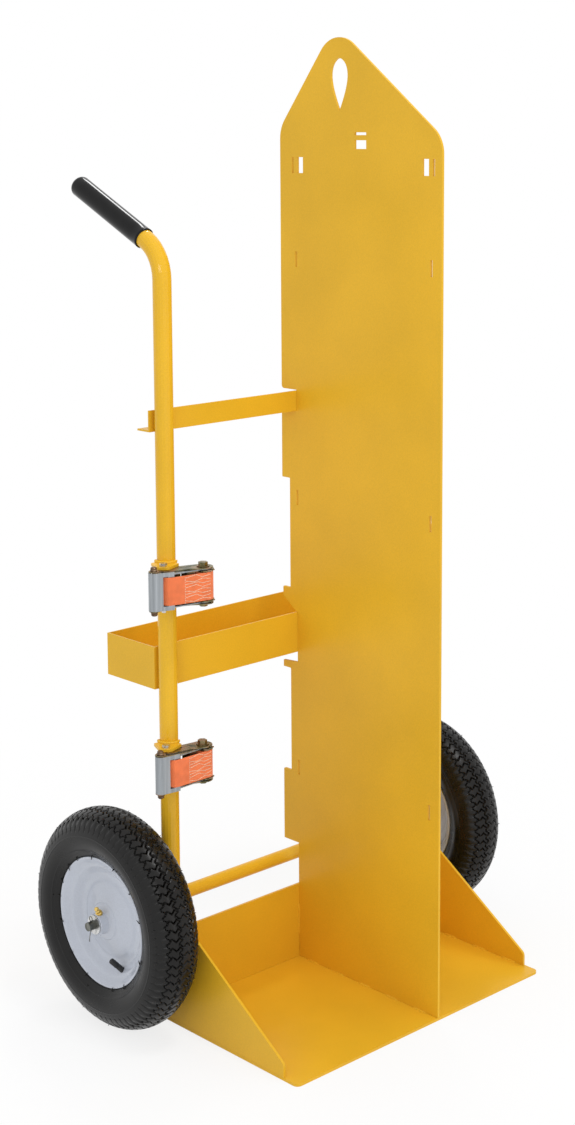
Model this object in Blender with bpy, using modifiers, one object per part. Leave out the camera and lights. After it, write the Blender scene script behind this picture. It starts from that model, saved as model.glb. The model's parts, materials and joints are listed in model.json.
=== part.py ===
"""Oxy acetylene torch cart: a two-cylinder hand truck with a steel fire barrier.

Frame: X is the cart's width (+X on the right seen from the front), the toe plate
reaches forward along -Y, the handles lean back along +Y, and Z is up from the floor.
The origin is on the floor, midway between the uprights, in the plane y = 0 where the
rear of the upright pipes meets the back wall, the top bar and the tool tray.
All sizes are in metres.
"""
import math

import bmesh
import bpy
from mathutils import Matrix, Vector

# ---- clearances -------------------------------------------------------------------
GAP = 0.0003                # between welded or resting neighbours
RUN = 0.0004                # running clearance at a turning or sliding piece

# ---- welded frame -----------------------------------------------------------------
HALF_WIDTH = 0.316          # frame centre to the outer face of a gusset
TOE_DEPTH = 0.363           # weld plane to the toe plate's front edge
PLATE = 0.0048              # toe plate, gussets, back wall, barrier and tabs
WALL_TOP = 0.1515           # top of the back wall
TOE_CORNER = 0.010          # rounded front corners of the toe plate
TOE_LIP = 0.034             # toe plate in front of the gussets
GUSSET_NOSE = 0.029         # height of a gusset at its front edge
GUSSET_SLOPE = 0.656        # rise of the sloping edge for each metre back

PIPE_RADIUS = 0.0167        # upright pipe
PIPE_WALL = 0.0034
HANDLE_CORNER = 1.388       # height where the straight runs of an upright would meet
HANDLE_LEAN = math.radians(25.6)   # handle above the horizontal
HANDLE_BEND = 0.075         # bend radius at the pipe's centre line
GRIP_START = 0.051          # from the corner to the open end of the grip
GRIP_LENGTH = 0.209
GRIP_WALL = 0.0022
PIPE_IN_GRIP = 0.190        # length of the pipe covered by the grip

BAR_HEIGHT = 0.0380         # top bar, a steel angle
BAR_LEG = 0.0330
BAR_WALL = 0.0032
BAR_BOTTOM = 1.0755

TRAY_BOTTOM = 0.613
TRAY_HEIGHT = 0.0775
TRAY_DEPTH = 0.1350
TRAY_WALL = 0.0027

# ---- fire barrier -----------------------------------------------------------------
BARRIER_X = 0.035           # the barrier stands off centre, for unlike cylinders
BARRIER_REAR = 0.040        # rear edge, where it reaches back past the weld plane
BARRIER_WAIST = 0.019       # rear edge over the middle stretches
APEX_Y = -0.1031            # where the two roof slopes would meet
APEX_Z = 1.7787
APEX_RADIUS = 0.0565
ROOF_REAR = 1.269           # fall of the rear slope for each metre back
ROOF_FRONT = 0.765          # fall of the front slope for each metre forward
SHOULDER_RADIUS = 0.055
EYE_Y = -0.1150             # lifting eye
EYE_TOP = 1.720
EYE_LENGTH = 0.0935
EYE_HALF = 0.0213           # half width at its widest
EYE_SKEW = 1.64             # how high up the widest place is, 1 for the middle
STEP_HIGH = 0.946           # rear edge steps in here
STEP_TAB = 0.735            # top of the tab over the tray
TAB_UNDER = 0.717           # underside of that tab at its rear end
HOOK_TOP = 0.590            # hook under the tray
HOOK_DROP = 0.0125
STEP_LOW = 0.375            # rear edge steps back out here
AXLE_NOTCH = 0.0346         # barrier's notch over the axle, above its centre
SLOT_LENGTH = 0.0288
SLOT_WIDTH = 0.0048
WINDOW_WIDTH = 0.0153
SLOT_INSET = 0.024          # barrier's front edge to the strap slots along it
SLOT_REAR_Y = -0.0015       # strap slots along the rear edge
SLOT_HEIGHTS = (0.3855, 0.9115, 1.3580)
WINDOW_Z = 1.5303           # centre height of the two upper slot pairs
WINDOW_INSET = 0.0384       # barrier's front edge to the front window's centre
WINDOW_REAR_Y = -0.0129
WINDOW_TO_SLOT = 0.0190     # between the centres of a window and its slot
CENTRE_SLOT_Y = -0.1678
CENTRE_WINDOW_Z = 1.5681

# ---- axle and wheels --------------------------------------------------------------
AXLE_Y = 0.0343
WHEEL_RADIUS = 0.1996
TYRE_CLEARANCE = 0.0207     # gusset to the inner side of a tyre
WHEEL_SIDES = 28            # tyre and rim share their facets
AXLE_RADIUS = 0.0079
AXLE_END = 0.0163           # axle beyond a hub
RIGHT_OUT = 0.0205          # the right wheel stands further out by this much
AXLE_TUBE_RADIUS = 0.0127
BRACKET_EAR = 0.024         # rounded rear end of an axle bracket
BRACKET_SEAT = 0.0065       # back wall's top to the lower end of an axle bracket
BRACKET_UP = 0.0424         # axle centre to the upper end
TYRE_HALF_WIDTH = 0.050
TYRE_FOOT = 0.108           # where the tyre's round section would close at the rim
RIM_RADIUS = 0.1179
RIM_HALF_WIDTH = 0.0355
BARREL_RADIUS = 0.1015
RIM_SHEET = 0.0026
HUB_RADIUS = 0.0195
HUB_OUT = 0.0470            # hub ends, from the middle of the tyre
HUB_IN = 0.0445
BEARING_RADIUS = 0.0132
BEARING_HALF = 0.034
VALVE_ANGLE = math.radians(-65)    # in the wheel's plane, from forward towards up
VALVE_RADIUS = 0.0965       # foot of the valve stem, inside the dish
VALVE_DEPTH = 0.0125
VALVE_LEAN = 1.25           # how far the stem leans in towards the hub
VALVE_STEM = 0.0052
VALVE_LENGTH = 0.037
WASHER_RADIUS = 0.0175
WASHER_THICKNESS = 0.0022
COTTER_END = 0.0090         # split pin beyond a hub
COTTER_WIRE = 0.0016
COTTER_LEG = 0.030

# ---- strap ratchets ---------------------------------------------------------------
MOUNT_OUT = 0.0292          # pipe centre to a ratchet's mount bolt, outwards
MOUNT_FRONT = 0.0106        # pipe's front to the mount bolt, forwards
SPOOL_REACH = 0.0705        # along the ratchet, from mount bolt to spool
SPOOL_FORWARD = 0.0090      # across the ratchet, from mount bolt to spool
BUCKLES = (                 # side, place, middle height, swing of its inner end forward
    ("left", "upper", 0.809, math.radians(19)),
    ("left", "lower", 0.482, math.radians(7)),
    ("right", "upper", 0.809, math.radians(30)),
    ("right", "lower", 0.540, math.radians(20)),
)
STRAP_HALF = 0.0250         # half the width of the webbing
STRAP_THICKNESS = 0.0020
WEB_CLEARANCE = 0.0008      # webbing to a ratchet wheel
SHEET_CLEARANCE = 0.0005    # between the ratchet's layers of sheet steel
GEAR_THICKNESS = 0.0022
GEAR_TIP = 0.0205
GEAR_ROOT = 0.0168
GEAR_TEETH = 12
SHEET = 0.0018              # ratchet's sheet steel
JOURNAL_RADIUS = 0.0095     # spool where it turns in arms and side plates
ROLL_RADIUS = 0.0185        # webbing wound on the spool
SPOOL_HEAD = 0.0085
HANDLE_TIP = 0.106
GRIP_ROLL = 0.010            # outer radius of the grip rolled round its pin
GRIP_LIP = 0.0032           # grip plate beyond the handle arms
PIN_END = 0.0084            # grip's cross pin beyond the side plates
GRIP_EDGE = 0.0623          # inner end of the handle's grip plate
GRIP_FACE = 0.0235          # front face of the grip plate, from the spool axis
WEB_SLOT = 0.0765           # slot in the grip plate that the webbing comes out of
PAWL_THICKNESS = 0.0022
MOUNT_BOLT_RADIUS = 0.0039

# ---- places that follow from the sizes above --------------------------------------
UPRIGHT_X = HALF_WIDTH - PIPE_RADIUS
GUSSET_REACH = TOE_DEPTH - TOE_LIP
SLOT_FRONT_Y = SLOT_INSET - TOE_DEPTH
WINDOW_FRONT_Y = WINDOW_INSET - TOE_DEPTH
WHEEL_X = HALF_WIDTH + TYRE_CLEARANCE + TYRE_HALF_WIDTH
AXLE_TUBE_HALF = WHEEL_X - HUB_IN - 0.0005
AXLE_LENGTH = 2 * (WHEEL_X + HUB_OUT + AXLE_END) + RIGHT_OUT
MOUNT_X = UPRIGHT_X + MOUNT_OUT
MOUNT_Y = -2 * PIPE_RADIUS - MOUNT_FRONT
GEAR_IN = STRAP_HALF + WEB_CLEARANCE
ARM_IN = GEAR_IN + GEAR_THICKNESS + SHEET_CLEARANCE
SIDE_IN = ARM_IN + SHEET + SHEET_CLEARANCE
GRIP_HALF = ARM_IN + SHEET + GRIP_LIP


# ---- modelling helpers ------------------------------------------------------------
def clear_scene():
    for obj in list(bpy.data.objects):
        bpy.data.objects.remove(obj, do_unlink=True)


def make_collection(name):
    collection = bpy.data.collections.new(name)
    bpy.context.scene.collection.children.link(collection)
    return collection


def material(name, colour, roughness, metallic):
    mat = bpy.data.materials.new(name)
    mat.use_nodes = True
    shader = mat.node_tree.nodes["Principled BSDF"]
    shader.inputs["Base Color"].default_value = (*colour, 1.0)
    shader.inputs["Roughness"].default_value = roughness
    shader.inputs["Metallic"].default_value = metallic
    return mat


def smooth(obj, angle=35):
    obj.data.shade_smooth()
    obj.data.set_sharp_from_angle(angle=math.radians(angle))


def add_mesh(name, mesh, mat, matrix=None, parent=None):
    """A mesh object in the parts collection; matrix is its place under its parent."""
    obj = bpy.data.objects.new(name, mesh)
    mesh.materials.clear()
    mesh.materials.append(mat)
    parts.objects.link(obj)
    obj.parent = parent
    obj.matrix_local = matrix or Matrix.Identity(4)
    smooth(obj)
    return obj


def add_empty(name, matrix, parent=None):
    obj = bpy.data.objects.new(name, None)
    parts.objects.link(obj)
    obj.parent = parent
    obj.matrix_local = matrix
    return obj


def weld(mesh):
    """Join touching vertices and set the faces outwards."""
    work = bmesh.new()
    work.from_mesh(mesh)
    bmesh.ops.remove_doubles(work, verts=work.verts, dist=0.00002)
    bmesh.ops.recalc_face_normals(work, faces=work.faces)
    work.to_mesh(mesh)
    work.free()


def curve_to_mesh(curve):
    """The mesh of a curve with its caps welded on."""
    temp = bpy.data.objects.new("temp", curve)
    bpy.context.scene.collection.objects.link(temp)
    evaluated = temp.evaluated_get(bpy.context.evaluated_depsgraph_get())
    mesh = bpy.data.meshes.new_from_object(evaluated)
    bpy.data.objects.remove(temp, do_unlink=True)
    weld(mesh)
    return mesh


def flat_mesh(outlines, thickness):
    """A flat plate from closed outlines in the XY plane: the outer one, then its holes."""
    curve = bpy.data.curves.new("outline", "CURVE")
    curve.dimensions = "2D"
    curve.fill_mode = "BOTH"
    curve.extrude = thickness / 2
    for outline in outlines:
        spline = curve.splines.new("POLY")
        spline.points.add(len(outline) - 1)
        for point, (a, b) in zip(spline.points, outline):
            point.co = (a, b, 0, 1)
        spline.use_cyclic_u = True
    return curve_to_mesh(curve)


def tube_mesh(points, radius, sides_level):
    """A round bar along a list of points."""
    curve = bpy.data.curves.new("route", "CURVE")
    curve.dimensions = "3D"
    curve.bevel_depth = radius
    curve.bevel_resolution = sides_level
    curve.use_fill_caps = True
    spline = curve.splines.new("POLY")
    spline.points.add(len(points) - 1)
    for point, place in zip(spline.points, points):
        point.co = (*place, 1)
    return curve_to_mesh(curve)


def cylinder_mesh(radius, depth, sides=24):
    """A cylinder along Z about the origin."""
    work = bmesh.new()
    bmesh.ops.create_cone(work, cap_ends=True, segments=sides, radius1=radius,
                          radius2=radius, depth=depth)
    mesh = bpy.data.meshes.new("cylinder")
    work.to_mesh(mesh)
    work.free()
    return mesh


def box_mesh(low, high):
    work = bmesh.new()
    size = [b - a for a, b in zip(low, high)]
    middle = [(a + b) / 2 for a, b in zip(low, high)]
    place = Matrix.Translation(middle) @ Matrix.Diagonal((*size, 1))
    bmesh.ops.create_cube(work, size=1, matrix=place)
    mesh = bpy.data.meshes.new("box")
    work.to_mesh(mesh)
    work.free()
    return mesh


def cutter(mesh, matrix=None):
    """A hidden object for a Boolean."""
    obj = bpy.data.objects.new("cutter", mesh)
    cutters.objects.link(obj)
    obj.hide_render = True
    obj.display_type = "WIRE"
    obj.matrix_world = matrix or Matrix.Identity(4)
    return obj


def combine(mesh, tools, operation):
    """The mesh after an exact Boolean with each (mesh, matrix) of tools."""
    base = bpy.data.objects.new("base", mesh)
    bpy.context.scene.collection.objects.link(base)
    for tool_mesh, matrix in tools:
        modifier = base.modifiers.new("cut", "BOOLEAN")
        modifier.operation = operation
        modifier.solver = "EXACT"
        modifier.object = cutter(tool_mesh, matrix)
    evaluated = base.evaluated_get(bpy.context.evaluated_depsgraph_get())
    result = bpy.data.meshes.new_from_object(evaluated)
    bpy.data.objects.remove(base, do_unlink=True)
    return result


def arc(centre, radius, start, end, steps):
    """Points on an arc, both ends included; angles in degrees."""
    points = []
    for i in range(steps + 1):
        angle = math.radians(start + (end - start) * i / steps)
        points.append((centre[0] + radius * math.cos(angle),
                       centre[1] + radius * math.sin(angle)))
    return points


def rounded(corners, least=5, facet=1.0):
    """An outline from (a, b, radius) corners, in facets no longer than asked for."""
    points = []
    count = len(corners)
    for i, (a, b, radius) in enumerate(corners):
        here = Vector((a, b))
        if radius == 0:
            points.append((a, b))
            continue
        before = Vector(corners[i - 1][:2]) - here
        after = Vector(corners[(i + 1) % count][:2]) - here
        before.normalize()
        after.normalize()
        half = before.angle(after) / 2
        centre = here + (before + after).normalized() * radius / math.sin(half)
        first = here + before * radius / math.tan(half) - centre
        last = here + after * radius / math.tan(half) - centre
        sweep = first.angle_signed(last)
        steps = max(least, math.ceil(abs(sweep) * radius / facet))
        for k in range(steps + 1):
            turned = first.copy()
            turned.rotate(Matrix.Rotation(-sweep * k / steps, 2))
            points.append(tuple(centre + turned))
    return points


def rectangle(middle_a, middle_b, width_a, width_b):
    return [(middle_a - width_a / 2, middle_b - width_b / 2),
            (middle_a + width_a / 2, middle_b - width_b / 2),
            (middle_a + width_a / 2, middle_b + width_b / 2),
            (middle_a - width_a / 2, middle_b + width_b / 2)]


def circle(centre, radius, sides=16):
    return arc(centre, radius, 0, 360, sides)[:-1]


# Outlines drawn as (y, z) stand in a plane across X.
def across_x(x):
    return Matrix.Translation((x, 0, 0)) @ Matrix(
        ((0, 0, 1, 0), (1, 0, 0, 0), (0, 1, 0, 0), (0, 0, 0, 1)))


def turned_mesh(profile, steps):
    """A closed (radius, height) profile turned about Z by a Screw modifier."""
    mesh = bpy.data.meshes.new("profile")
    count = len(profile)
    edges = [(i, (i + 1) % count) for i in range(count)]
    edges = [(i, j) for i, j in edges if profile[i][0] > 0 or profile[j][0] > 0]
    mesh.from_pydata([(r, 0, h) for r, h in profile], edges, [])
    temp = bpy.data.objects.new("turning", mesh)
    bpy.context.scene.collection.objects.link(temp)
    screw = temp.modifiers.new("turn", "SCREW")
    screw.axis = "Z"
    screw.steps = steps
    screw.render_steps = steps
    screw.use_merge_vertices = True
    screw.merge_threshold = 0.00002
    evaluated = temp.evaluated_get(bpy.context.evaluated_depsgraph_get())
    result = bpy.data.meshes.new_from_object(evaluated)
    bpy.data.objects.remove(temp, do_unlink=True)
    weld(result)
    return result


# ---- welded frame -----------------------------------------------------------------
def build_toe_plate():
    corners = [(-HALF_WIDTH, PLATE + GAP, 0), (-HALF_WIDTH, -TOE_DEPTH, TOE_CORNER),
               (HALF_WIDTH, -TOE_DEPTH, TOE_CORNER), (HALF_WIDTH, PLATE + GAP, 0)]
    mesh = flat_mesh([rounded(corners)], PLATE)
    return add_mesh("toe_plate", mesh, yellow, Matrix.Translation((0, 0, PLATE / 2)))


def build_back_wall():
    mesh = box_mesh((-HALF_WIDTH, GAP, PLATE + GAP), (HALF_WIDTH, GAP + PLATE, WALL_TOP))
    return add_mesh("back_wall", mesh, yellow)


def build_gusset(side, sign):
    """A gusset stands on the toe plate's side edge and ends at the upright pipe."""
    inset = PIPE_RADIUS - PLATE
    pipe_front = -PIPE_RADIUS - math.sqrt(PIPE_RADIUS ** 2 - inset ** 2)
    rear = pipe_front - GAP
    base = PLATE + GAP
    top = GUSSET_NOSE + GUSSET_SLOPE * (GUSSET_REACH + rear)
    corners = [(rear, base, 0), (-GUSSET_REACH, base, 0),
               (-GUSSET_REACH, GUSSET_NOSE, 0.012), (rear, top, 0.004)]
    mesh = flat_mesh([rounded(corners)], PLATE)
    place = across_x(sign * (HALF_WIDTH - PLATE / 2))
    return add_mesh("gusset_" + side, mesh, yellow, place)


def roof_height(y):
    """Height of the barrier's sloping top edge, before its corners are rounded."""
    if y > APEX_Y:
        return APEX_Z - ROOF_REAR * (y - APEX_Y)
    return APEX_Z - ROOF_FRONT * (APEX_Y - y)


def barrier_outline():
    front = -TOE_DEPTH
    rear = BARRIER_REAR
    bar_top = BAR_BOTTOM + BAR_HEIGHT
    tray_top = TRAY_BOTTOM + TRAY_HEIGHT
    hook_rear = rear - 0.001
    corners = [
        (front, PLATE + GAP, 0),
        (front, roof_height(front), SHOULDER_RADIUS),
        (APEX_Y, APEX_Z, APEX_RADIUS),
        (rear, roof_height(rear), SHOULDER_RADIUS),
        (rear, bar_top + 0.0015, 0.006),
        (0, bar_top + 0.0015, 0),
        (0, BAR_BOTTOM - GAP, 0),
        (rear, BAR_BOTTOM - GAP, 0),
        (rear, STEP_HIGH, 0.002),
        (BARRIER_WAIST, STEP_HIGH, 0.002),
        (BARRIER_WAIST, STEP_TAB, 0.002),
        (hook_rear, STEP_TAB, 0.002),
        (hook_rear, TAB_UNDER, 0),
        (0.0035, tray_top + GAP, 0),
        (0, tray_top + GAP, 0),
        (0, HOOK_TOP + 0.003, 0),
        (hook_rear, HOOK_TOP, 0),
        (hook_rear, HOOK_TOP - HOOK_DROP, 0),
        (BARRIER_WAIST, HOOK_TOP - HOOK_DROP, 0.002),
        (BARRIER_WAIST, STEP_LOW, 0.002),
        (rear, STEP_LOW, 0.002),
        (rear, WHEEL_RADIUS + AXLE_NOTCH, 0),
        (0, WHEEL_RADIUS + AXLE_NOTCH, 0),
        (0, PLATE + GAP, 0),
    ]
    return rounded(corners, 4, 0.0055)


def eye_outline():
    """The lifting eye: an egg shape drawn out to a narrow tip at its foot."""
    steps = 15
    side = []
    for k in range(1, steps):
        share = k / steps
        half = EYE_HALF * math.sin(math.pi * share) ** 0.93
        side.append((half, EYE_TOP - EYE_LENGTH * share ** EYE_SKEW))
    right = [(EYE_Y + half, z) for half, z in side]
    left = [(EYE_Y - half, z) for half, z in reversed(side)]
    return [(EYE_Y, EYE_TOP), *right, (EYE_Y, EYE_TOP - EYE_LENGTH), *left]


def build_fire_barrier():
    holes = [eye_outline()]
    for y in (SLOT_FRONT_Y, SLOT_REAR_Y):
        for z in SLOT_HEIGHTS:
            holes.append(rectangle(y, z, SLOT_WIDTH, SLOT_LENGTH))
    for y, outward in ((WINDOW_FRONT_Y, -1), (WINDOW_REAR_Y, 1)):
        slot_y = y + outward * WINDOW_TO_SLOT
        holes.append(rectangle(y, WINDOW_Z, WINDOW_WIDTH, SLOT_LENGTH))
        holes.append(rectangle(slot_y, WINDOW_Z, SLOT_WIDTH, SLOT_LENGTH))
    slot_z = CENTRE_WINDOW_Z + WINDOW_TO_SLOT
    holes.append(rectangle(CENTRE_SLOT_Y, CENTRE_WINDOW_Z, SLOT_LENGTH, WINDOW_WIDTH))
    holes.append(rectangle(CENTRE_SLOT_Y, slot_z, SLOT_LENGTH, SLOT_WIDTH))
    mesh = flat_mesh([barrier_outline(), *holes], PLATE)
    return add_mesh("fire_barrier", mesh, yellow, across_x(BARRIER_X))


def handle_point(distance):
    """A point on the handle's straight run, at a distance from the corner: (y, z)."""
    return (-PIPE_RADIUS + distance * math.cos(HANDLE_LEAN),
            HANDLE_CORNER + distance * math.sin(HANDLE_LEAN))


def build_upright(side, sign):
    turn = math.pi / 2 - HANDLE_LEAN
    tangent = HANDLE_BEND * math.tan(turn / 2)
    centre = (-PIPE_RADIUS + HANDLE_BEND, HANDLE_CORNER - tangent)
    bend = arc(centre, HANDLE_BEND, 180, 180 - math.degrees(turn), 7)
    end = handle_point(GRIP_START + PIPE_IN_GRIP)
    route = [(-PIPE_RADIUS, PLATE + GAP), *bend, end]
    x = sign * UPRIGHT_X
    pipe = tube_mesh([(x, y, z) for y, z in route], PIPE_RADIUS, 8)
    beyond = handle_point(GRIP_START + PIPE_IN_GRIP + 0.01)
    hollow = [(-PIPE_RADIUS, 0), *bend, beyond]
    bore = tube_mesh([(x, y, z) for y, z in hollow], PIPE_RADIUS - PIPE_WALL, 2)
    mesh = combine(pipe, [(bore, None)], "DIFFERENCE")
    return add_mesh("upright_" + side, mesh, yellow)


def build_grip(side, sign):
    """A vinyl sleeve with a domed end, turned about the handle's own line."""
    inner = PIPE_RADIUS + GAP
    outer = inner + GRIP_WALL
    dome = 0.012
    profile = [(inner, 0), (inner, PIPE_IN_GRIP + GAP), (0, PIPE_IN_GRIP + GAP),
               (0, GRIP_LENGTH)]
    profile += [(outer - dome + dome * math.sin(a), GRIP_LENGTH - dome + dome * math.cos(a))
                for a in (math.radians(d) for d in (0, 30, 60, 90))]
    profile.append((outer, 0))
    y, z = handle_point(GRIP_START)
    tilt = Matrix.Rotation(-(math.pi / 2 - HANDLE_LEAN), 4, "X")
    place = Matrix.Translation((sign * UPRIGHT_X, y, z)) @ tilt
    return add_mesh("grip_" + side, turned_mesh(profile, 20), black_vinyl, place)


def build_top_bar():
    low, high = BAR_BOTTOM, BAR_BOTTOM + BAR_HEIGHT
    leg = [(GAP, low), (GAP + BAR_LEG, low), (GAP + BAR_LEG, low + BAR_WALL),
           (GAP + BAR_WALL, low + BAR_WALL), (GAP + BAR_WALL, high), (GAP, high)]
    mesh = flat_mesh([leg], 2 * HALF_WIDTH + 0.006)
    return add_mesh("top_bar", mesh, yellow, across_x(0))


def build_tool_tray():
    """A folded open box: its front wall is welded to the rear of the uprights."""
    low = (-HALF_WIDTH, GAP, TRAY_BOTTOM)
    high = (HALF_WIDTH, GAP + TRAY_DEPTH, TRAY_BOTTOM + TRAY_HEIGHT)
    hollow = box_mesh([v + TRAY_WALL for v in low],
                      (high[0] - TRAY_WALL, high[1] - TRAY_WALL, high[2] + 0.01))
    mesh = combine(box_mesh(low, high), [(hollow, Matrix.Identity(4))], "DIFFERENCE")
    return add_mesh("tool_tray", mesh, yellow)


# ---- axle and wheels --------------------------------------------------------------
ALONG_X = Matrix.Rotation(math.pi / 2, 4, "Y")


def axle_place(x=0.0):
    return Matrix.Translation((x, AXLE_Y, WHEEL_RADIUS))


def wheel_x(sign):
    """Middle of a wheel."""
    return WHEEL_X + RIGHT_OUT if sign > 0 else -WHEEL_X


def beside_wheel(sign, distance):
    """A place on the axle, at a distance outboard of a wheel's hub."""
    return wheel_x(sign) + sign * (HUB_OUT + distance)


def build_axle_tube():
    bore = AXLE_RADIUS + GAP
    length = 2 * AXLE_TUBE_HALF + RIGHT_OUT
    mesh = combine(cylinder_mesh(AXLE_TUBE_RADIUS, length, 20),
                   [(cylinder_mesh(bore, length + 0.01, 20), None)], "DIFFERENCE")
    return add_mesh("axle_tube", mesh, yellow, axle_place(RIGHT_OUT / 2) @ ALONG_X)


def build_axle_bracket(side, sign):
    """An ear welded to the rear of an upright, with the axle tube through it."""
    y = AXLE_Y
    z = WHEEL_RADIUS
    ear = arc((y, z), BRACKET_EAR, -70, 70, 8)
    outline = [(GAP, WALL_TOP + BRACKET_SEAT), *ear, (GAP, z + BRACKET_UP)]
    hole = circle((y, z), AXLE_TUBE_RADIUS + GAP)
    mesh = flat_mesh([outline, hole], PLATE)
    return add_mesh("axle_bracket_" + side, mesh, yellow, across_x(sign * UPRIGHT_X))


def build_axle():
    hole = cylinder_mesh(COTTER_WIRE + RUN, 4 * AXLE_RADIUS, 10)
    tools = []
    for sign in (-1, 1):
        upright = Matrix.Rotation(math.pi / 2, 4, "Y")
        x = beside_wheel(sign, COTTER_END) - RIGHT_OUT / 2
        tools.append((hole, Matrix.Translation((0, 0, x)) @ upright))
    mesh = combine(cylinder_mesh(AXLE_RADIUS, AXLE_LENGTH, 20), tools, "DIFFERENCE")
    return add_mesh("axle", mesh, bare_steel, axle_place(RIGHT_OUT / 2) @ ALONG_X)


def build_washer(side, sign):
    bore = AXLE_RADIUS + GAP
    half = WASHER_THICKNESS / 2
    profile = [(bore, -half), (WASHER_RADIUS, -half), (WASHER_RADIUS, half), (bore, half)]
    x = beside_wheel(sign, GAP + half)
    return add_mesh("axle_washer_" + side, turned_mesh(profile, 24), zinc,
                    axle_place(x) @ ALONG_X)


def build_cotter(side, sign):
    """A split pin: an eye above the axle and two legs hanging below it, spread apart."""
    wire = COTTER_WIRE / 2
    eye_radius = 0.0042
    eye_centre = AXLE_RADIUS + eye_radius + 0.0012
    eye = arc((0, eye_centre), eye_radius, -70, 250, 10)
    low = -AXLE_RADIUS - 0.002
    leg_a = [(wire + 0.0002, low), (0.004, low - 0.012), (0.005, low - COTTER_LEG * 0.7)]
    route = [*reversed(leg_a), (wire, 0.004), *eye, (-wire, 0.004), (-wire - 0.0001, low)]
    points = [(0, a, b) for a, b in route]
    mesh = tube_mesh(points, wire, 1)
    return add_mesh("cotter_" + side, mesh, zinc, axle_place(beside_wheel(sign, COTTER_END)))


def rim_profile():
    """(radius, offset) round the steel rim: dish outboard, barrel, and hub tube."""
    bore = BEARING_RADIUS + GAP
    sheet = RIM_SHEET
    dish = [(HUB_RADIUS, 0.030), (0.035, 0.025), (0.060, 0.0145), (0.078, 0.0105),
            (0.0985, 0.0240), (0.109, 0.0320)]
    lip = [(RIM_RADIUS, RIM_HALF_WIDTH), (RIM_RADIUS, RIM_HALF_WIDTH - sheet),
           (0.1105, 0.0287), (BARREL_RADIUS, 0.0215)]
    far_lip = [(r, -h) for r, h in reversed(lip)]
    inner = [(0.1075, -0.0315), (BARREL_RADIUS - sheet, -0.0225),
             (BARREL_RADIUS - sheet, 0.0215), (0.079, 0.0105 - sheet),
             (0.060, 0.0145 - sheet), (HUB_RADIUS, 0.030 - sheet)]
    hub = [(HUB_RADIUS, -HUB_IN), (bore, -HUB_IN), (bore, HUB_OUT), (HUB_RADIUS, HUB_OUT)]
    return dish + lip + far_lip + inner + hub


def tyre_profile():
    """(radius, offset) round the casing: a round section outside, then the inside."""
    middle = (WHEEL_RADIUS + TYRE_FOOT) / 2
    height = (WHEEL_RADIUS - TYRE_FOOT) / 2

    def section(turn, inset):
        angle = math.radians(turn)
        return (middle + (height - inset) * math.cos(angle),
                (TYRE_HALF_WIDTH - inset) * math.sin(angle))

    half = [section(turn, 0) for turn in (24, 48, 70, 92, 114)]
    half += [(RIM_RADIUS + 0.0020, RIM_HALF_WIDTH), (RIM_RADIUS + 0.0005, 0.0326),
             (0.1108, 0.0283), (BARREL_RADIUS + 0.0006, 0.0209)]
    inside = [(BARREL_RADIUS + 0.0006, 0.0120)]
    inside += [section(turn, 0.0072) for turn in (112, 80, 50, 25)]
    near = [(WHEEL_RADIUS, 0)] + half + inside
    far = [(r, -h) for r, h in reversed(half + inside)]
    return near + [(WHEEL_RADIUS - 0.0075, 0)] + far


def valve_place(wheel_place, sign):
    """Place of the valve stem in the wheel's frame: it leans in over the dish."""
    forward = Vector((0, -1, 0))
    spoke = forward * math.cos(VALVE_ANGLE) + Vector((0, 0, 1)) * math.sin(VALVE_ANGLE)
    outward = Vector((sign, 0, 0))
    foot = Vector((wheel_x(sign), AXLE_Y, WHEEL_RADIUS))
    foot += spoke * VALVE_RADIUS + outward * VALVE_DEPTH
    lean = (outward - spoke * VALVE_LEAN).normalized()
    place = lean.to_track_quat("Z", "Y").to_matrix().to_4x4()
    place.translation = foot + lean * VALVE_LENGTH / 2
    return wheel_place.inverted() @ place


def build_wheel(side, sign):
    """One wheel on an empty at its centre, local Z outboard along the axle."""
    outboard = ALONG_X if sign > 0 else Matrix.Rotation(-math.pi / 2, 4, "Y")
    wheel_place = axle_place(wheel_x(sign)) @ outboard
    hub = add_empty("wheel_" + side + "_spin", wheel_place)
    bore = AXLE_RADIUS + GAP
    ring = [(bore, -BEARING_HALF), (BEARING_RADIUS, -BEARING_HALF),
            (BEARING_RADIUS, BEARING_HALF), (bore, BEARING_HALF)]
    stem = valve_place(wheel_place, sign)
    hole = cylinder_mesh(VALVE_STEM + GAP, VALVE_LENGTH + 0.004, 12)
    rim = combine(turned_mesh(rim_profile(), WHEEL_SIDES), [(hole, stem)], "DIFFERENCE")
    add_mesh("tyre_" + side, turned_mesh(tyre_profile(), WHEEL_SIDES), rubber, None, hub)
    add_mesh("rim_" + side, rim, rim_white, None, hub)
    add_mesh("roller_bearing_" + side, turned_mesh(ring, 20), bare_steel, None, hub)
    add_mesh("valve_stem_" + side, cylinder_mesh(VALVE_STEM, VALVE_LENGTH, 12), rubber,
             stem, hub)


# ---- strap ratchets ---------------------------------------------------------------
# Drawn flat, with u from the spool towards the handle's grip and v towards the front.
def mirrored(points, hand):
    return [(u, hand * v) for u, v in points]


def side_outline():
    """A side plate of the ratchet's frame, round at the spool."""
    end = SPOOL_REACH + 0.0130
    return [*arc((0, 0), 0.0180, 90, 270, 7), (end - 0.0040, -0.0180),
            (end, -0.0140), (end, -0.0020), (end - 0.0070, 0.0080),
            (end - 0.0175, 0.0100), (0.028, 0.0100)]


def arm_outline():
    """One arm of the handle, from the spool to the grip."""
    tip = HANDLE_TIP
    return [*arc((0, 0), 0.0135, 60, 270, 6), (0.010, -0.0040), (0.030, 0.0000),
            (tip - 0.0140, 0.0030), (tip - 0.0050, 0.0058), (tip - 0.0012, 0.0115),
            (tip - 0.0040, 0.0195), (tip - 0.0100, 0.0222), (GRIP_EDGE + 0.0040, 0.0225),
            (0.030, 0.0160)]


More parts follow.
